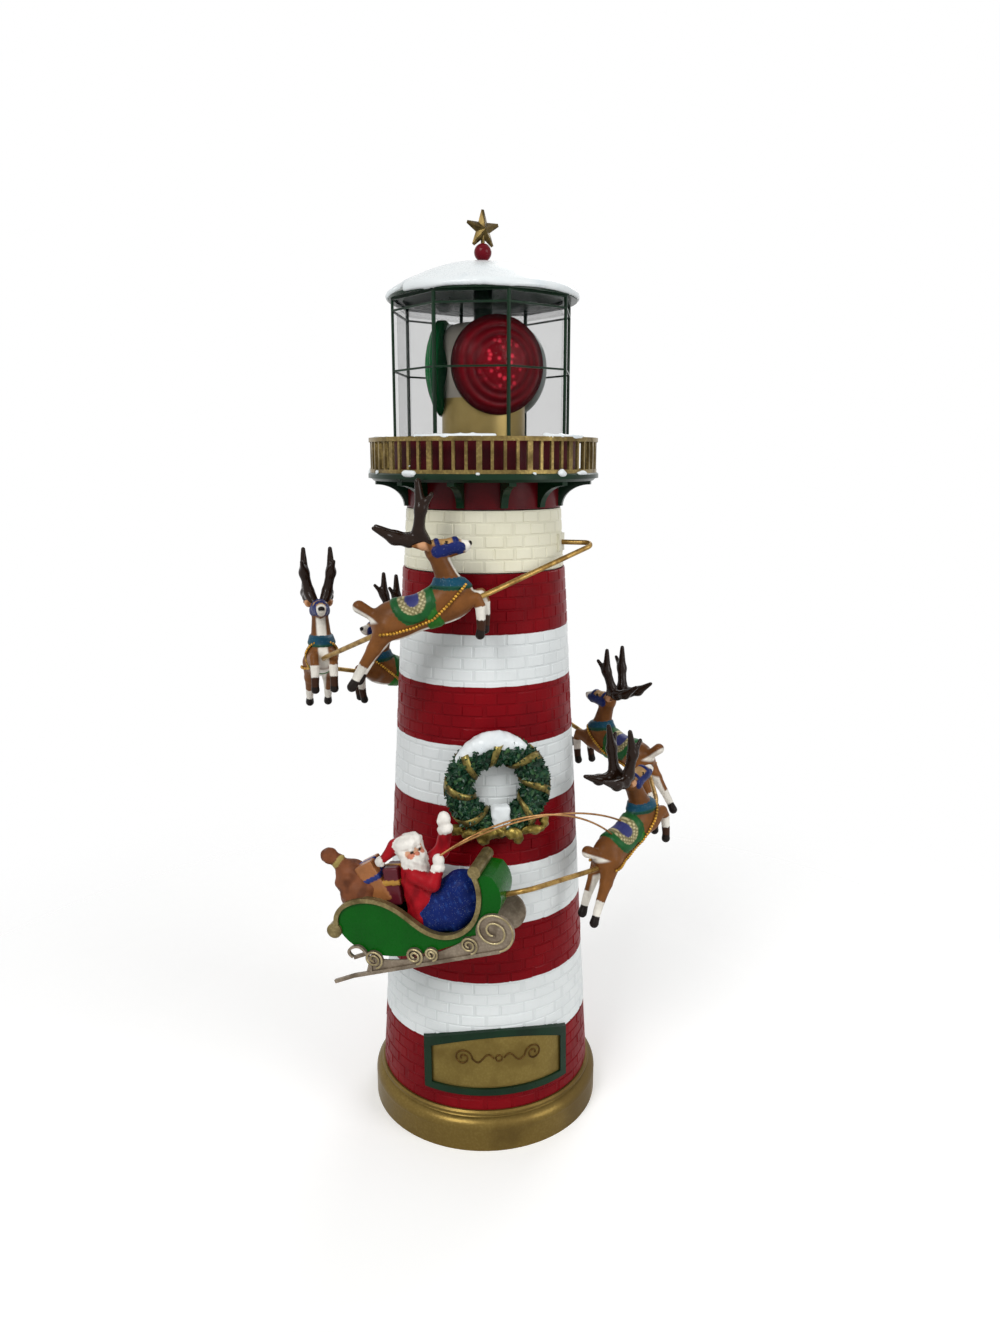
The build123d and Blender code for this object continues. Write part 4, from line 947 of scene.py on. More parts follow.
def band(rows, thickness):
    """Closed ribbon mesh between two rails of points, with its thickness laid to both sides."""
    left, right = np.array([r[0] for r in rows], float), np.array([r[1] for r in rows], float)
    along = np.gradient((left + right) / 2, axis=0)
    lift = np.cross(along, right - left)
    lift *= thickness / 2 / np.linalg.norm(lift, axis=1)[:, None]
    sides = [left + lift, right + lift, right - lift, left - lift]
    points = np.stack(sides, 1).reshape(-1, 3)
    faces = []
    for k in range(len(rows) - 1):
        for s in range(4):
            a, b = 4 * k + s, 4 * k + (s + 1) % 4
            faces.append((a, a + 4, b + 4, b))
    last = 4 * (len(rows) - 1)
    faces += [(0, 1, 2, 3), (last + 3, last + 2, last + 1, last)]
    return points, faces


def joined(pieces):
    """One list of points and faces out of several."""
    points, faces, start = [], [], 0
    for own_points, own_faces in pieces:
        points.append(np.asarray(own_points, float))
        faces += [tuple(i + start for i in face) for face in own_faces]
        start += len(own_points)
    return np.concatenate(points), faces


def make_ribbon_wraps(material):
    """Slanted bands round the ring, kept clear of the wall behind it."""
    turns, tube = 28, wreath_core + ribbon_lift
    pieces = []
    for k in range(ribbon_wraps):
        start = 2 * math.pi * (k + 0.2) / ribbon_wraps
        rows = []
        for step in range(turns + 1):
            phi = 2 * math.pi * step / turns
            theta = start - ribbon_slant * phi / math.pi
            rows.append([ring_spot(theta + side * ribbon_half, phi, tube) for side in (-1, 1)])
        pieces.append(band(rows, 0.7))
    points, faces = joined(pieces)
    wall = -np.sqrt(np.clip(ribbon_wall**2 - points[:, 0] ** 2, 0, None))
    points[:, 1] = np.minimum(points[:, 1], wall)
    new_piece("wreath_ribbon", mesh_from("wreath_ribbon", points, faces), material, "tower", slot="bow_gold")


def make_bow(material):
    """Knot, full loops and short tails as soft pillows along the ring's foot."""
    clay = Clay(0.7)
    for center, radii in bow_lumps:
        clay.egg(center, radii, GOLD_LIGHT, fuzz=0.5, grain=3.4)
    points, quads, _ = clay.surface((-25, -57, 150), (26, -43, 167), 0.5)
    mesh = mesh_from("bow_ribbon", points, quads)
    new_piece("bow_ribbon", mesh, material, "tower", ["wreath_bow"], "bow_gold")


def make_wreath_snow(material):
    """Bank over the ring's crown, and a patch that lies across the ring's foot."""
    low, high = (-28, -57, 150), (28, -36, 208)
    points = grid(low, high, wreath_snow_cell)
    x, y, z = points[..., 0], points[..., 1], points[..., 2]
    wall = tower_foot_radius - (z - stripe_edges[0]) * tower_taper
    around = np.hypot(x, z - wreath_center[2])
    theta = np.degrees(np.arctan2(x, z - wreath_center[2])) + bank_lean
    thick = bank_depth - bank_thin * np.clip(np.abs(theta) / bank_half, 0, 1) ** 2
    bank = np.hypot((around - bank_ring) * 0.9, y - bank_y) - thick
    bank = np.maximum(bank, (np.abs(theta) - bank_half) * 0.35)
    patch = parcel(points - np.array(patch_place), np.array(patch_half), 1.6)
    field = np.minimum(bank, patch) + ripple(points, 5.0, 17) * 0.4
    field = np.maximum(field, wall - 0.2 - np.hypot(x, y))
    snow_piece("wreath_drift", field, low, wreath_snow_cell, material, "wreath_snow")


# Lenses
def make_lens(name, azimuth, material, slot):
    """Bull's-eye lens: a faceted heart inside broad soft rings, with painted shade kept for its rim and ring
    troughs.
    """
    back, turns = lens_plane - 4.6, 96
    profile = [(0.0, back), (lens_radius - 0.6, back), (lens_radius, back + 0.6)]
    rings, heart = [1.0] * 3, [0.0] * 3
    for share in np.linspace(1.0, 0.0, 49):
        wave = math.cos(2 * math.pi * lens_rings * share)
        ringed = float(soft_step(share, 0.38, 0.55) * soft_step(0.97 - share, 0, 0.08))
        lift = lens_bulge * (1 - share**2) - 1.1 + 0.4 * wave * ringed
        profile.append((share * lens_radius, lens_plane + lift))
        # Painted shade share: more in the ring troughs and towards the rim. The heart share marks where
        # painted glints go.
        rings.append(0.22 + 0.38 * (0.5 - 0.5 * wave) * ringed + 0.6 * float(soft_step(share, 0.88, 0.97)))
        heart.append(float(soft_step(0.62 - share, 0, 0.25)))

    def face_out(points):
        turn = math.radians(azimuth)
        side = np.array((math.cos(turn), math.sin(turn), 0))
        out = np.array((math.sin(turn), -math.cos(turn), 0))
        up = np.array((0, 0, 1.0))
        return points[:, :1] * side + points[:, 1:2] * up + points[:, 2:] * out + np.array((0, 0, lens_z))

    points, faces = lathe(profile, turns, face_out)
    mesh = mesh_from(name + "_rings", points, faces)
    kept = [k for k, (r, _) in enumerate(profile) if r > 1e-6]
    store(mesh, "lens_ring_shade", np.concatenate([np.repeat(np.array(rings)[kept], turns), [1.0, 0.22]]))
    store(mesh, "lens_heart", np.concatenate([np.repeat(np.array(heart)[kept], turns), [0.0, 1.0]]))
    new_piece(name + "_rings", mesh, material, "beacon", [name], slot)


# Reindeer, leaping along +X with the rod's axis through the origin, and the rope on each flank
deer_cell = 0.55
stride = 1.2
saddle = (-4.5, 9.8, 8.9, 10.2)
rope_bead, rope_pitch = 0.74, 1.4
rope_line = np.array([(18.6, 7.6), (10.0, 3.0), (1.0, -1.4), (-8.0, -2.0), (-16.0, -1.2), (-21.6, 0.4)])
collar_middle = (12.6, 0.0, 10.4)
collar_normal = (0.33, 0.0, 0.944)


def coat_paint(points):
    """Brown coat, darker along the back, with a pale throat and belly and a white underside to the tail."""
    x, y, z = points.T
    color = blend(soft_step(z - 0.12 * x, 5.0, 12.0) * 0.55, COAT, COAT_DARK)
    belly = soft_step(-z, 2.6, 3.8) * soft_step(3.6 - np.abs(y), 0, 0.8) * soft_step(16 - x, 0, 3)
    throat = soft_step(x - 14.2 + 0.06 * z, 0, 1.4) * soft_step(2.7 - np.abs(y), 0, 0.9)
    throat = throat * soft_step(21.5 - z, 0, 2)
    scut = soft_step(-0.78 * (x + 24.6) - 0.62 * (z - 10.6), 0.4, 1.2) * soft_step(z - 4.5, 0, 1.5)
    return blend(np.maximum(np.maximum(belly, throat * soft_step(z, -6, -3)), scut), color, COAT_WHITE)


def face_paint(points):
    x, y, z = points.T
    color = blend(soft_step(z - 25.2 + 0.22 * (x - 18), 0, 1.6) * 0.8, COAT, tone("#b8925f"))
    color = blend(soft_step(x - 22.4, 0, 1.4), color, COAT_WHITE)
    return blend(soft_step(x - 25.9, 0, 0.4) * soft_step(z - 21.6, 0, 0.5), color, HOOF)


def ear_paint(points):
    return blend(soft_step(np.abs(points[:, 0] - 7.4), 1.2, 2.4), tone("#cf9a72"), COAT)


def saddle_paint(points):
    x0, z0, wide, tall = saddle
    x, y, z = points.T
    q = np.hypot((x - x0) / wide, (z - z0) / tall)
    dots = soft_step(np.sin(3.0 * x) * np.sin(3.0 * z), 0.1, 0.5)
    beige = blend(dots, tone("#7c7450"), tone("#c8bd92"))
    color = blend(soft_step(q, 0.32, 0.36), np.broadcast_to(SADDLE_BLUE, beige.shape), beige)
    return blend(soft_step(q, 0.64, 0.68), color, CLOTH_GREEN)


def collar_paint(points):
    rise = (points - np.array(collar_middle)) @ np.array(collar_normal)
    return blend(soft_step(-rise, 0.6, 1.4), TEAL, tone("#1c4a38"))


# Legs and antlers of one side, as rods from x, y, z and radius to the next, with a leg's paint and blend
deer_legs = (
    ((14, 3.4, 0.5, 4.0), (22, 4.1, 0.7, 2.4), coat_paint, None),
    ((22, 4.1, 0.7, 2.4), (22.6, 4.2, -2.6, 2.2), coat_paint, 0.6),
    ((22.4, 4.2, -3.4, 2.2), (21.2, 4.3, -7.6, 2.0), COAT_WHITE, 0.6),
    ((20.7, 4.3, -9.2, 2.0), (19.6, 4.4, -12.2, 1.8), SHIN, 0.6),
    ((19.2, 4.4, -12.8, 1.8), (18.4, 4.4, -14.4, 2.1), HOOF, 0.5),
    ((-17, 3.4, 2, 5.0), (-25.4, 4.5, -4.8, 2.9), coat_paint, None),
    ((-25.4, 4.5, -4.8, 2.9), (-31.6, 4.65, -9.6, 2.2), coat_paint, 1.2),
    ((-32.4, 4.7, -10.2, 2.1), (-36.6, 4.7, -13.8, 1.9), COAT_WHITE, 0.6),
    ((-38.0, 4.7, -15.2, 1.9), (-40, 4.7, -17, 2.2), HOOF, 0.5),
)
antler_rods = (
    ((9.6, 1.9, 27.6, 2.1), (7.6, 4.4, 34.4, 2.4)),
    ((7.6, 4.4, 34.4, 2.4), (11.8, 6.4, 43.0, 2.3)),
    ((11.8, 6.4, 43.0, 2.3), (14.5, 6.4, 54.0, 1.1)),
    ((8.2, 3.6, 31.4, 2.1), (3.0, 4.8, 32.4, 2.5)),
    ((3.0, 4.8, 32.4, 2.5), (-2.4, 5.5, 35.4, 2.4)),
    ((-2.4, 5.5, 35.4, 2.4), (-8.8, 6.0, 42.2, 1.0)),
    ((11.6, 6.3, 42.0, 1.6), (18.0, 7.6, 47.0, 0.95)),
)


def on_side(side, ends, shift=0.0):
    """A rod's two ends on the left or right, moved along by the stride."""
    return [(x + side * shift, side * y, z, radius) for x, y, z, radius in ends]


def deer_body():
    clay = Clay(2.4)
    clay.egg((-15.4, 0, 3.2), (9.8, 6.5, 8.4), coat_paint)
    clay.egg((-3.0, 0, 2.3), (15.0, 6.0, 7.6), coat_paint, soft=5.0)
    clay.egg((10.0, 0, 3.0), (11.0, 6.4, 8.5), coat_paint, soft=5.0)
    clay.rod((12.6, 0, 8, 5.2), (11.6, 0, 23, 3.8), coat_paint, soft=4.0)
    clay.rod((11.2, 0, 25.4, 4.1), (19, 0, 24.2, 3.2), face_paint)
    clay.rod((19, 0, 24.2, 3.2), (24.6, 0, 22.6, 2.1), face_paint, soft=1.4)
    clay.rod((13, 0, 22.8, 2.4), (23, 0, 21.2, 1.5), face_paint, soft=1.4)
    clay.egg((26.0, 0, 23.0), (1.2, 1.5, 1.0), HOOF, soft=0.5)
    clay.rod((-22.8, 0, 8.4, 2.5), (-26.8, 0, 13.4, 2.8), coat_paint, soft=1.6)
    for side in (-1, 1):
        for near, far, paint, soft in deer_legs:
            clay.rod(*on_side(side, (near, far), stride), paint, soft=soft)
        clay.rod((10.4, side * 2.8, 26.8, 1.2), (7.6, side * 4.8, 28.6, 1.9), ear_paint, soft=0.6)
        clay.rod((7.6, side * 4.8, 28.6, 1.9), (3.8, side * 6.8, 30.0, 0.7), ear_paint, soft=0.6)
        clay.egg((16.8, side * 2.7, 26.5), (1.7, 0.9, 1.15), tone("#c39a62"), soft=0.2)
        clay.egg((17.0, side * 3.25, 26.6), (0.95, 0.6, 0.8), HOOF, soft=0.1)
    return clay


def dress_deer(clay):
    """Lays cloth, collar, girth and bridle on the body, each a little proud of it."""
    hide = remembered(clay_copy(clay).field)
    x0, z0, wide, tall = saddle

    def cloth(p):
        q = np.hypot((p[..., 0] - x0) / wide, (p[..., 2] - z0) / tall)
        return trimmed(hide(p) - 0.7, (q - 1) * 8.0, 0.5)

    def collar(p):
        rise = np.abs((p - np.array(collar_middle)) @ np.array(collar_normal))
        return trimmed(hide(p) - 0.75, np.maximum(rise - 2.0, 2.5 - p[..., 0]), 0.5)

    def girth(p):
        wide = 1.5 + 1.3 * soft_step(-p[..., 2], -1.0, 4.0)
        return trimmed(hide(p) - 0.55, np.maximum(np.abs(p[..., 0] - 1.0) - wide, p[..., 2] - 2.5), 0.4)

    def bridle(p):
        flat = np.stack([p[..., 0], 0 * p[..., 0], p[..., 2]], -1)
        cheek = rod(flat, (12.4, 0, 24.4), (22.2, 0, 22.9), 2.3, 1.8)
        cheek = np.maximum(cheek, 0.9 - np.abs(p[..., 1]))
        nose = np.maximum(np.abs(p[..., 0] - 21.2) - 0.9, 20.0 - p[..., 2])
        brow = np.maximum(np.abs(p[..., 0] - 13.4) - 0.8, 23.5 - p[..., 2])
        return trimmed(hide(p) - 0.6, np.minimum(np.minimum(cheek, nose), brow), 0.4)

    clay.add(girth, tone("#2a6a22"), soft=0.1)
    clay.add(cloth, saddle_paint, soft=0.1)
    clay.add(collar, collar_paint, soft=0.1)
    clay.add(bridle, CLOTH_BLUE, soft=0.1)
    return hide


def clay_copy(clay):
    copy = Clay(clay.soft)
    copy.lumps = list(clay.lumps)
    return copy


def flank_rope(hide, side):
    """Path from the collar down and back along one flank, laid on the coat."""
    share = np.linspace(0, 1, 60) * (len(rope_line) - 1)
    x, z = (np.interp(share, range(len(rope_line)), values) for values in rope_line.T)
    across = np.linspace(0, 13, 131)
    path = []
    for px, pz in zip(x, z):
        field = hide(np.stack([0 * across + px, side * across, 0 * across + pz], -1))
        out = across[np.flatnonzero(field < 0)[-1]] if (field < 0).any() else 4.0
        path.append((px, side * (out + 0.75), pz))
    return np.array(path)


def make_team():
    clay = deer_body()
    hide = dress_deer(clay)
    points, quads, paint = clay.surface((-44, -11, -21), (29, 11, 34), deer_cell)
    shine = np.zeros(len(points))
    for color in (CLOTH_BLUE, TEAL):
        shine[np.abs(paint - np.asarray(color)).sum(1) < 0.02] = 1.0
    finish = sculpted("deer_paint", 0.42, 0.04, glitter=0.8)
    horn = sculpted("horn_paint", 0.2, 0.12, bump=0.35)
    ropes, horns = [], []
    horn_points, horn_quads, horn_paint = antler_pair()
    for name, place in deer_places.items():
        mesh = mesh_from(name + "_sculpt", placed(points, place), quads)
        store(mesh, "paint", paint)
        store(mesh, "glitter", shine)
        new_piece(name + "_sculpt", mesh, finish, "flight", [name], "deer_brown")
        horns.append((placed(horn_points, place), horn_quads))
        ropes += [placed(flank_rope(hide, side), place) for side in (-1, 1)]
    mesh = mesh_from("antler_sculpt", *joined(horns))
    store(mesh, "paint", np.tile(horn_paint, (len(horns), 1)))
    new_piece("antler_sculpt", mesh, horn, "flight", ["antlers"], "antler_brown")
    rope_gold = old_gold("rope_gold", "#e2b458", "#b98a34", "#6a4a1a", 300.0)
    beads = bead_strings("gold_ropes", ropes, rope_bead, rope_pitch, rope_gold)
    new_piece("gold_ropes", beads, None, "flight", slot="gold_paint")


def antler_pair():
    """Thick antlers: a tall beam with a short fore tine and a crescent back tine."""
    clay = Clay(1.8)
    for side in (-1, 1):
        for ends in antler_rods:
            clay.rod(*on_side(side, ends), HORN)
    return clay.surface((-12, -11, 24), (21, 11, 58), deer_cell)


def bead_strings(name, paths, radius, spacing, material):
    """Beads strung along paths, closely enough to touch."""
    tree = Tree(name, path_mesh(name, paths))
    size = tree.size("Bead Radius", radius * MM)
    gap = tree.size("Spacing", spacing * MM)
    curve = tree.made("MeshToCurve", Mesh=tree.entry.outputs[0])
    spots = tree.made("ResampleCurve", {"mode": "LENGTH"}, Curve=curve, Length=gap)
    bead = tree.made("MeshIcoSphere", Radius=size, Subdivisions=2)
    return tree.mesh(name, tree.made("InstanceOnPoints", Points=spots, Instance=bead), material)


def wire_piece(name, paths, radius, material, body, replaced, slot):
    """Round wire swept along paths and closed at both ends, as a piece."""
    tree = Tree(name, path_mesh(name, paths))
    size = tree.size("Wire Radius", radius * MM)
    curve = tree.made("MeshToCurve", Mesh=tree.entry.outputs[0])
    round_section = tree.made("CurvePrimitiveCircle", Resolution=8, Radius=size)
    swept = tree.made("CurveToMesh", Curve=curve, Profile_Curve=round_section, Fill_Caps=True)
    new_piece(name, tree.mesh(name, swept, material), None, body, replaced, slot)


# Sleigh load, in the sleigh's own frame
head_x, head_drop = -6.8, 2.5
neck_x = head_x - 2.4
head_turn = math.radians(40.0)


def make_driver():
    clay = Clay(1.4)
    clay.rod((-10, 0, 9, 8.3), (-9.4, 0, 26.4, 7.3), suit_paint, fuzz=0.45, grain=4.5)
    for path in (
        ((-8, 5, 27.4, 3.9), (1.6, 8, 32, 3.2), (5.6, 8, 39.4, 3.0)),
        ((-8, -5, 27.4, 3.9), (-0.4, -8, 23.4, 3.2), (2.6, -6.2, 28.0, 2.9)),
    ):
        clay.rod(path[0], path[1], suit_paint)
        clay.rod(path[1], path[2], suit_paint)
    clay.egg((6.2, 8, 41.4), (3.6, 3.4, 2.7), FUR, soft=0.3, fuzz=0.35, grain=2.2)
    clay.egg((7.2, 8, 46.0), (2.8, 2.6, 3.4), FUR, soft=0.3)
    clay.egg((5.2, 6.6, 45.2), (1.3, 1.2, 2.0), FUR, soft=0.5)
    clay.egg((3.4, -6.0, 29.4), (3.2, 3.2, 2.4), FUR, soft=0.3, fuzz=0.3, grain=2.2)
    clay.egg((4.7, -5.7, 32.6), (2.6, 2.4, 2.9), FUR, soft=0.3)
    clay.view = over_shoulder
    clay.rod((-7.4, 0, 36, 5.2), (-6.4, 0, 40, 5.2), SKIN, soft=0.8)
    clay.rod((-3.6, 0, 35.2, 5.0), (-1.8, 0, 28.6, 3.3), FUR, soft=0.3, fuzz=0.5, grain=3.2)
    for side in (-1, 1):
        clay.egg((-5.4, side * 4.4, 36.4), (2.4, 2.0, 3.8), FUR, soft=0.6, fuzz=0.3, grain=2.6)
        clay.egg((-0.9, side * 1.8, 37.2), (1.4, 2.1, 1.0), FUR, soft=0.3)
        clay.egg((-2.0, side * 2.6, 38.9), (1.5, 1.5, 1.3), tone("#cf8168"), soft=0.8)
        clay.egg((-1.3, side * 1.9, 40.4), (0.55, 0.75, 0.5), tone("#2a1c18"), soft=0.1)
        clay.egg((-1.4, side * 2.0, 41.5), (0.7, 1.3, 0.5), FUR, soft=0.2)
        clay.egg((-6.2, side * 4.6, 41.0), (2.8, 2.0, 3.8), FUR, soft=0.6, fuzz=0.3, grain=2.6)
    clay.egg((-0.7, 0, 39.1), (1.0, 0.95, 0.9), tone("#cf8168"), soft=0.4)
    clay.egg((-6.6, 0, 44.0), (6.4, 6.6, 3.6), FUR, soft=0.6, fuzz=0.4, grain=2.8)
    clay.view = None
    clay.rod((-12.4, 0, 40.4, 4.6), (-15.0, -0.8, 40.8, 3.2), suit_paint, soft=0.4)
    clay.rod((-15.0, -0.8, 40.8, 3.2), (-20.6, -3.8, 37.4, 1.8), suit_paint)
    clay.egg((-22.4, -4.4, 36.6), (2.3, 2.3, 2.3), FUR, soft=0.3, fuzz=0.3, grain=2.4)
    clay.rod((-2.0, -1.6, 25, 1.5), (-1.2, -1.2, 14, 1.6), FUR, soft=0.3, fuzz=0.3, grain=2.4)
    finish = sculpted("suit_paint", 0.44)
    set_clay("driver_sculpt", clay, (-26, -13, 0), (13, 13, 54), 0.5, finish, "sleigh_driver", "suit_red")


def over_shoulder(points):
    """Points as the head sees them, which is turned about its neck to look out past the sleigh's side."""
    c, s = math.cos(head_turn), math.sin(head_turn)
    x, y = points[..., 0] - neck_x, points[..., 1]
    return np.stack([head_x + c * x - s * y, s * x + c * y, points[..., 2] + head_drop], -1)


def suit_paint(points):
    return blend(soft_step(ripple(points, 6.0, 41), 0.0, 1.0) * 0.6, SUIT, SUIT_DARK)


def set_clay(name, clay, low, high, step, material, node, slot):
    points, quads, paint = clay.surface(low, high, step)
    mesh = mesh_from(name, placed(points, sleigh_place), quads)
    store(mesh, "paint", paint)
    store(mesh, "glitter", np.ones(len(points)))
    new_piece(name, mesh, material, "flight", [node], slot)


def robe_paint(points):
    return blend(soft_step(ripple(points, 2.4, 52), 0.3, 1.0) * 0.45, ROBE, ROBE_LIGHT)


# Parcels: x, z, lean and size, then wrapping and ribbon
gifts = (
    (-28.6, 27.6, -14.0, (9.0, 11.0, 19.0), tone("#a2683c"), tone("#1a2f74")),
    (-20.4, 24.4, 10.0, (7.0, 10.0, 17.0), MAROON, tone("#b98a3a")),
)


def sack_cloth(points):
    return blend(soft_step(ripple(points, 7.0, 61), -0.1, 0.9) * 0.7, SACK, SACK_DARK)


def make_robe():
    clay = Clay(3.0)
    clay.rod((-5.6, 0, 8.0, 9.4), (8.8, 0, 16.4, 8.4), robe_paint, fuzz=0.5, grain=7.0)
    clay.rod((3.0, 0, 6.0, 8.6), (11.0, 0, 10.0, 7.0), robe_paint, fuzz=0.5, grain=7.0)
    finish = sculpted("robe_paint", 0.42, glitter=0.75)
    set_clay("robe_sculpt", clay, (-17, -11, -4), (19, 11, 27), 0.6, finish, "lap_robe", "robe_blue")


def make_sack():
    clay = Clay(2.0)
    clay.rod((-37.4, 0, 24, 9.8), (-39.6, 0, 30, 8.2), sack_cloth, fuzz=0.6, grain=6.0)
    clay.rod((-41.4, 0, 34.4, 4.6), (-43.8, 0, 38.8, 2.7), sack_cloth, fuzz=0.35, grain=4.0)
    clay.rod((-44.2, 0, 39.6, 2.6), (-47.2, 0, 42.6, 3.9), sack_cloth, fuzz=0.6, grain=4.5)
    clay.add(lambda p: hoop(p, (-43.9, 0, 39.1), (-0.6, 0, 0.8), 2.8, 0.8), GOLD_LIGHT, soft=0.2)
    finish = sculpted("sack_paint", 0.5)
    set_clay("sack_sculpt", clay, (-53, -11, 14), (-28, 11, 54), 0.6, finish, "toy_sack", "sack_brown")


def make_gifts():
    clay = Clay(0.2)
    for x, z, lean, size, color, ribbon in gifts:
        place, half = gift_frame(x, z, lean), np.array(size) / 2
        clay.add(partial(wrapped_gift, place, half), color)
        clay.add(partial(taped_gift, place, half), ribbon)
    finish = sculpted("gift_paint", 0.34, 0.3)
    set_clay("gift_sculpt", clay, (-39, -8, 12), (-13, 8, 41), 0.5, finish, "gift_boxes", "gift_paint")


def wrapped_gift(place, half, points):
    return parcel(place(points), half, 0.6)


def taped_gift(place, half, points):
    local = place(points)
    return trimmed(parcel(local, half + 0.35, 0.5), tape_zone(local), 0.2)


def gift_frame(x, z, lean):
    """Maps points into a parcel's own frame, leant about the sleigh's cross axis."""
    turn = math.radians(lean)
    c, s = math.cos(turn), math.sin(turn)

    def into(points):
        dx, dz = points[..., 0] - x, points[..., 2] - z
        return np.stack([c * dx - s * dz, points[..., 1], s * dx + c * dz], -1)

    return into


def tape_zone(points):
    """Where a parcel's ribbon crosses, once each way."""
    return np.minimum(np.abs(points[..., 1]) - 1.0, np.abs(points[..., 2] - 2.0) - 1.0)


# Plaque flourish of its own design, laid on the panel
flourish_z = 46.0
vine_reach = (2.4, 12.6)
vine_swing = 1.9
vine_line = 0.45
curl_radius, curl_turns, curl_shrink = 4.2, 1.6, 0.82
vine_ring = 1.5


def make_flourish(material):
    """Two mirrored vines that end in a curl, on either side of a ring, laid on the plaque's curved panel."""
    panel = nodes["plaque_panel"].data
    tree = BVHTree.FromPolygons([v.co for v in panel.vertices], [p.vertices for p in panel.polygons])
    share = np.linspace(0, 1, 48)
    x = vine_reach[0] + (vine_reach[1] - vine_reach[0]) * share
    vine = np.stack([x, vine_swing * np.sin(2 * math.pi * share)], 1)
    turn = math.pi - 2 * math.pi * curl_turns * share[1:]
    reach = curl_radius * (1 - curl_shrink * share[1:])
    curl = np.stack([vine_reach[1] + curl_radius + reach * np.cos(turn), reach * np.sin(turn)], 1)
    half = np.concatenate([vine, curl])
    turn = 2 * math.pi * share
    ring = vine_ring * np.stack([np.cos(turn), np.sin(turn)], 1)
    laid = []
    for path in (half * (-1, 1), half, ring):
        line = []
        for x, z in path:
            hit = tree.ray_cast(Vector((x * MM, -0.2, (flourish_z + z) * MM)), Vector((0, 1, 0)))[0]
            if hit:
                line.append(np.array(hit) / MM + (0, -0.1, 0))
        laid.append(line)
    wire_piece("plaque_flourish", laid, vine_line, material, "tower", (), "dark_green")


# Scrolls on the runners, each by its middle and radius
runner_scrolls = (
    (21.3, -1.7, 8.2),
    (-36.4, -4.4, 3.8),
    (-17.3, -6.0, 3.5),
    (-9.4, -6.4, 2.7),
    (8.6, -5.4, 3.5),
)
runner_face = 11.5
scroll_wire = 0.5
scroll_turns = 4
scroll_shrink = 0.22

# Reins, each by its end at the hand, its end at the last reindeer's back and its arch
reins = (
    ((4.9, -6.4, 34.0), (-9.4, -1.0, 7.6), 1.65),
    ((4.9, -4.8, 34.0), (0.6, 1.6, 8.0), 1.15),
)
rein_arch, rein_bulge = 15.0, 8.0
rein_shares = (0.3, 0.68)
rein_radius = 0.45


def scroll_line(x, z, radius, face):
    """Half circles that shrink towards the middle."""
    line = []
    shrink = scroll_shrink * radius
    for k in range(scroll_turns):
        reach = radius - k * shrink
        for turn in np.radians(np.arange(180 * k - 90, 180 * k + 90, 15)):
            line.append((x + reach * math.cos(turn), face, z + reach * math.sin(turn)))
        z += shrink * (1 if k % 2 == 0 else -1)
    return line


def make_scrolls(material):
    lines = [
        placed(scroll_line(x, z, radius, side * runner_face), sleigh_place)
        for side in (-1, 1)
        for x, z, radius in runner_scrolls
    ]
    wire_piece("runner_scrolls", lines, scroll_wire, material, "flight", (), "gold_paint")


def make_reins(material):
    lines = []
    for hand, back, arch in reins:
        start = placed([hand], sleigh_place)[0]
        end = placed([back], deer_places["reindeer_6"])[0]
        span = end - start
        out = (start + end) * (1, 1, 0)
        lift = (out / np.linalg.norm(out) * rein_bulge + np.array((0, 0, rein_arch))) * arch
        rise, fall = (start + span * share + lift for share in rein_shares)
        t = np.linspace(0, 1, 41)[:, None]
        s = 1 - t
        lines.append(s**3 * start + 3 * t * s**2 * rise + 3 * t**2 * s * fall + t**3 * end)
    wire_piece("rein_lines", lines, rein_radius, material, "flight", ["rein_wires"], "brass_wire")


# Stage, in metres and watts: each lamp's place, aim, size and power
lamps = {
    "key": ((-0.75, -0.95, 1.15), (0, 0, 0.22), 0.7, 12.5),
    "fill": ((0.95, -0.85, 0.65), (0, 0, 0.2), 0.8, 7.0),
    "rim": ((0.5, 0.9, 1.0), (0, 0, 0.25), 0.7, 4.0),
}
floor_corners = [(-3, -3, 0), (3, -3, 0), (3, 3, 0), (-3, 3, 0)]
floor_fade = (0.5, 0.12)
world_light = 0.40


def build_floor():
    """Pale table that keeps the shadow and fades into the background."""
    floor = raw_mesh("floor", floor_corners, (), [(0, 1, 2, 3)])
    finish = Finish("pale_table", Roughness=0.7)
    away = finish.node("VectorMath", {"operation": "LENGTH"}, {0: finish.object}, "Value")
    finish.set("Base Color", finish.mix(finish.noise(3.0) * 0.1, tone("#f6f6f5"), tone("#efefee")))
    finish.set("Alpha", finish.step(away, *floor_fade))
    seen = finish.node("LightPath", out="Is Camera Ray")
    finish.set("Emission Color", finish.mix(seen, tone("#000000"), tone("#7c7c7c")))
    finish.set("Emission Strength", 1.0)
    floor.materials.append(finish.material)
    linked("floor", floor)


def build_world():
    """White to the camera, to gloss and through clear walls, and a softer light elsewhere."""
    world = bpy.data.worlds.new("studio")
    bpy.context.scene.world = world
    world.use_nodes = True
    sky = Shading(world.node_tree, "Background")
    sky.set("Color", (1.0, 1.0, 1.0, 1.0))
    white = sky.node("LightPath", out="Is Camera Ray")
    for kind in ("Is Glossy Ray", "Is Transmission Ray"):
        white = white.math("MAXIMUM", sky.node("LightPath", out=kind))
    sky.set("Strength", sky.node("MapRange", None, {"Value": white, "To Min": world_light, "To Max": 1.0}))


def build_lamps():
    for name, (place, aim, size, power) in lamps.items():
        lamp = bpy.data.lights.new(name, "AREA")
        lamp.shape, lamp.size, lamp.energy = "DISK", size, power
        holder = linked(name, lamp)
        holder.location = place
        holder.rotation_euler = (Vector(aim) - Vector(place)).to_track_quat("-Z", "Y").to_euler()


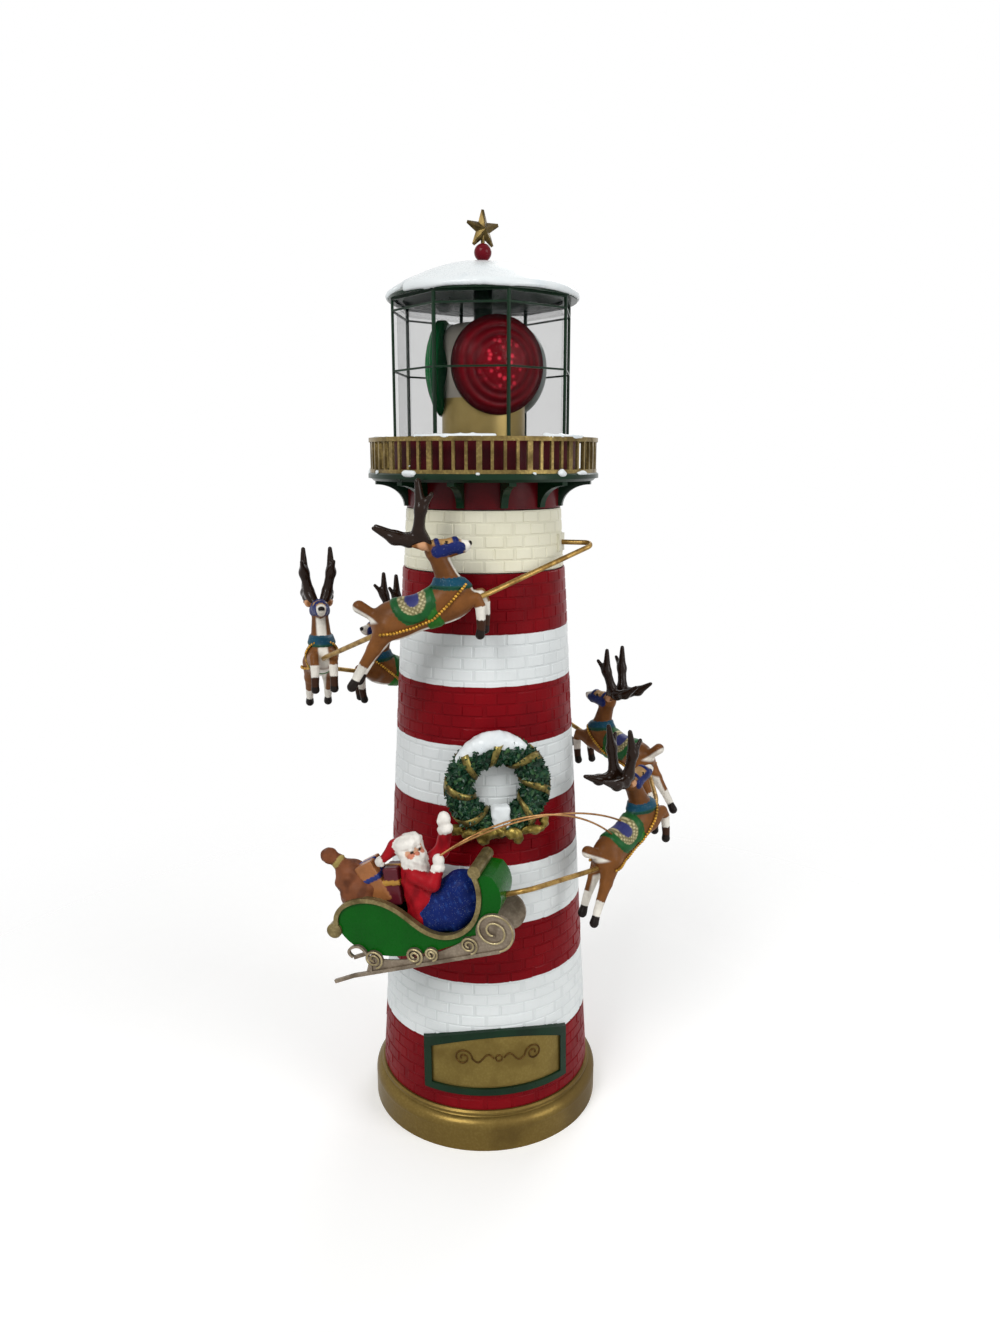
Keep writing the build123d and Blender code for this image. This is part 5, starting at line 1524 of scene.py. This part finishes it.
def build_camera():
    lens = bpy.data.cameras.new("camera")
    lens.sensor_width = sensor_mm
    lens.lens = camera_focal_px / photo_height_px * sensor_mm
    lens.clip_start, lens.clip_end = 0.01, 20.0
    camera = linked("camera", lens)
    camera.location = [c * MM for c in camera_place]
    camera.rotation_euler = (math.radians(90 - camera_drop), 0.0, -math.radians(camera_heading))
    scene = bpy.context.scene
    scene.camera = camera
    scene.view_settings.view_transform = "Standard"


# Finishes of the CAD nodes that show: golds by light, base and deep tone and patch scale, and paints
gold_nodes = {
    "gallery_railing": ("antique_gold", "#ab9758", "#77653d", "#46381e", 95.0),
    "finial_star": ("star_gold", "#766638", "#544526", "#2c2212", 190.0),
    "base_plinth": ("foot_gold", "#84703e", "#705c2e", "#574522", 30.0),
    "plaque_panel": ("panel_gold", "#8c7a44", "#786635", "#645228", 70.0),
    "sleigh_trim": ("trim_gold", "#a8986c", "#7c6e4a", "#4e4329", 130.0),
    "sleigh_runners": ("runner_pewter", "#a69a88", "#857868", "#5e5244", 130.0),
    "flight_rod": ("bright_brass", "#bc9c60", "#a08046", "#66491f", 220.0),
}
green_nodes = ("plaque_frame", "gallery_deck", "gallery_brackets", "roof_cap", "lantern_frame")


def dress_nodes():
    for node, look in gold_nodes.items():
        coat(old_gold(*look), node)
    coat(painted("drum_gold", "#9c8854", "#826c3b", 0.34, metal=0.55, wear=0.35), "beacon_drum")
    coat(painted("pine_gloss", "#0d2b18", "#06160c", 0.3, coat=0.12), *green_nodes)
    coat(painted("corbel_red", "#58040d", "#35040a", 0.35, coat=0.06), "gallery_corbel")
    coat(painted("ball_red", "#660616", "#3a040c", 0.22, coat=0.04), "finial_ball")
    coat(painted("sleigh_gloss", "#02580c", "#024a09", 0.28, coat=0.05, bump=0.06), "sleigh_tub")
    coat(painted("curb_red", "#4a0a12", "#240408", 0.35), "lantern_curb")
    coat(painted("deck_plastic", "#c9cdcb", "#a9adab", 0.4), "drive_deck", "beacon_gear", "motor_pinion")
    coat(painted("cover_plastic", "#2c2c2d", "#191919", 0.5, bump=0.3), "bottom_cover", "switch_body")
    coat(painted("black_plastic", "#1d1d1e", "#0e0e0e", 0.34), "power_jack", "switch_slider", "power_lead")
    coat(painted("zinc", "#a8a9a8", "#6f706f", 0.32, metal=0.9), "cover_screws", "neck_screws")
    steel = painted("can_steel", "#b3b3b0", "#7c7c79", 0.3, metal=0.9)
    coat(steel, "gear_motor", "lamp_tube", "lamp_holder")
    coat(clear_plastic("lantern_clear", tone("#1f2826"), 0.05, 0.30), "lantern_glass")
    coat(clear_plastic("housing_clear", tone("#b9b1a6"), 0.62, 0.95, 0.14), "lens_housing")
    coat(clear_plastic("bulb_glass", tone("#fff4dc"), 0.35, 0.8), "lamp_bulb")


# Dressing
build_floor()
build_world()
build_lamps()
build_camera()
dress_tower()
snow = snow_paint("thick_snow")
make_roof_snow(snow)
make_rail_snow(snow)
make_wreath_snow(snow)
leaves = leafy_wreath(leaf_finish())
new_piece("wreath_leaves", leaves, None, "tower", ["wreath"], "wreath_green", smooth=False)
make_ribbon_wraps(old_gold("wrap_gold", "#a79a5c", "#726636", "#3a2c18", 260.0))
make_bow(old_gold("ribbon_gold", "#a89656", "#7c6b32", "#3f3312", 160.0))
for name, (azimuth, slot, *tones) in lens_looks.items():
    make_lens(name, azimuth, lens_plastic(name, *map(tone, tones)), slot)
make_team()
make_driver()
make_robe()
make_sack()
make_gifts()
make_scrolls(old_gold("scroll_gold", "#d0c4a0", "#a89a74", "#6e6246", 160.0))
make_reins(old_gold("copper_wire", "#c8a070", "#a5784a", "#704826", 260.0))
make_flourish(old_gold("flourish_paint", "#6e5428", "#4e3817", "#33240e", 200.0))
dress_nodes()
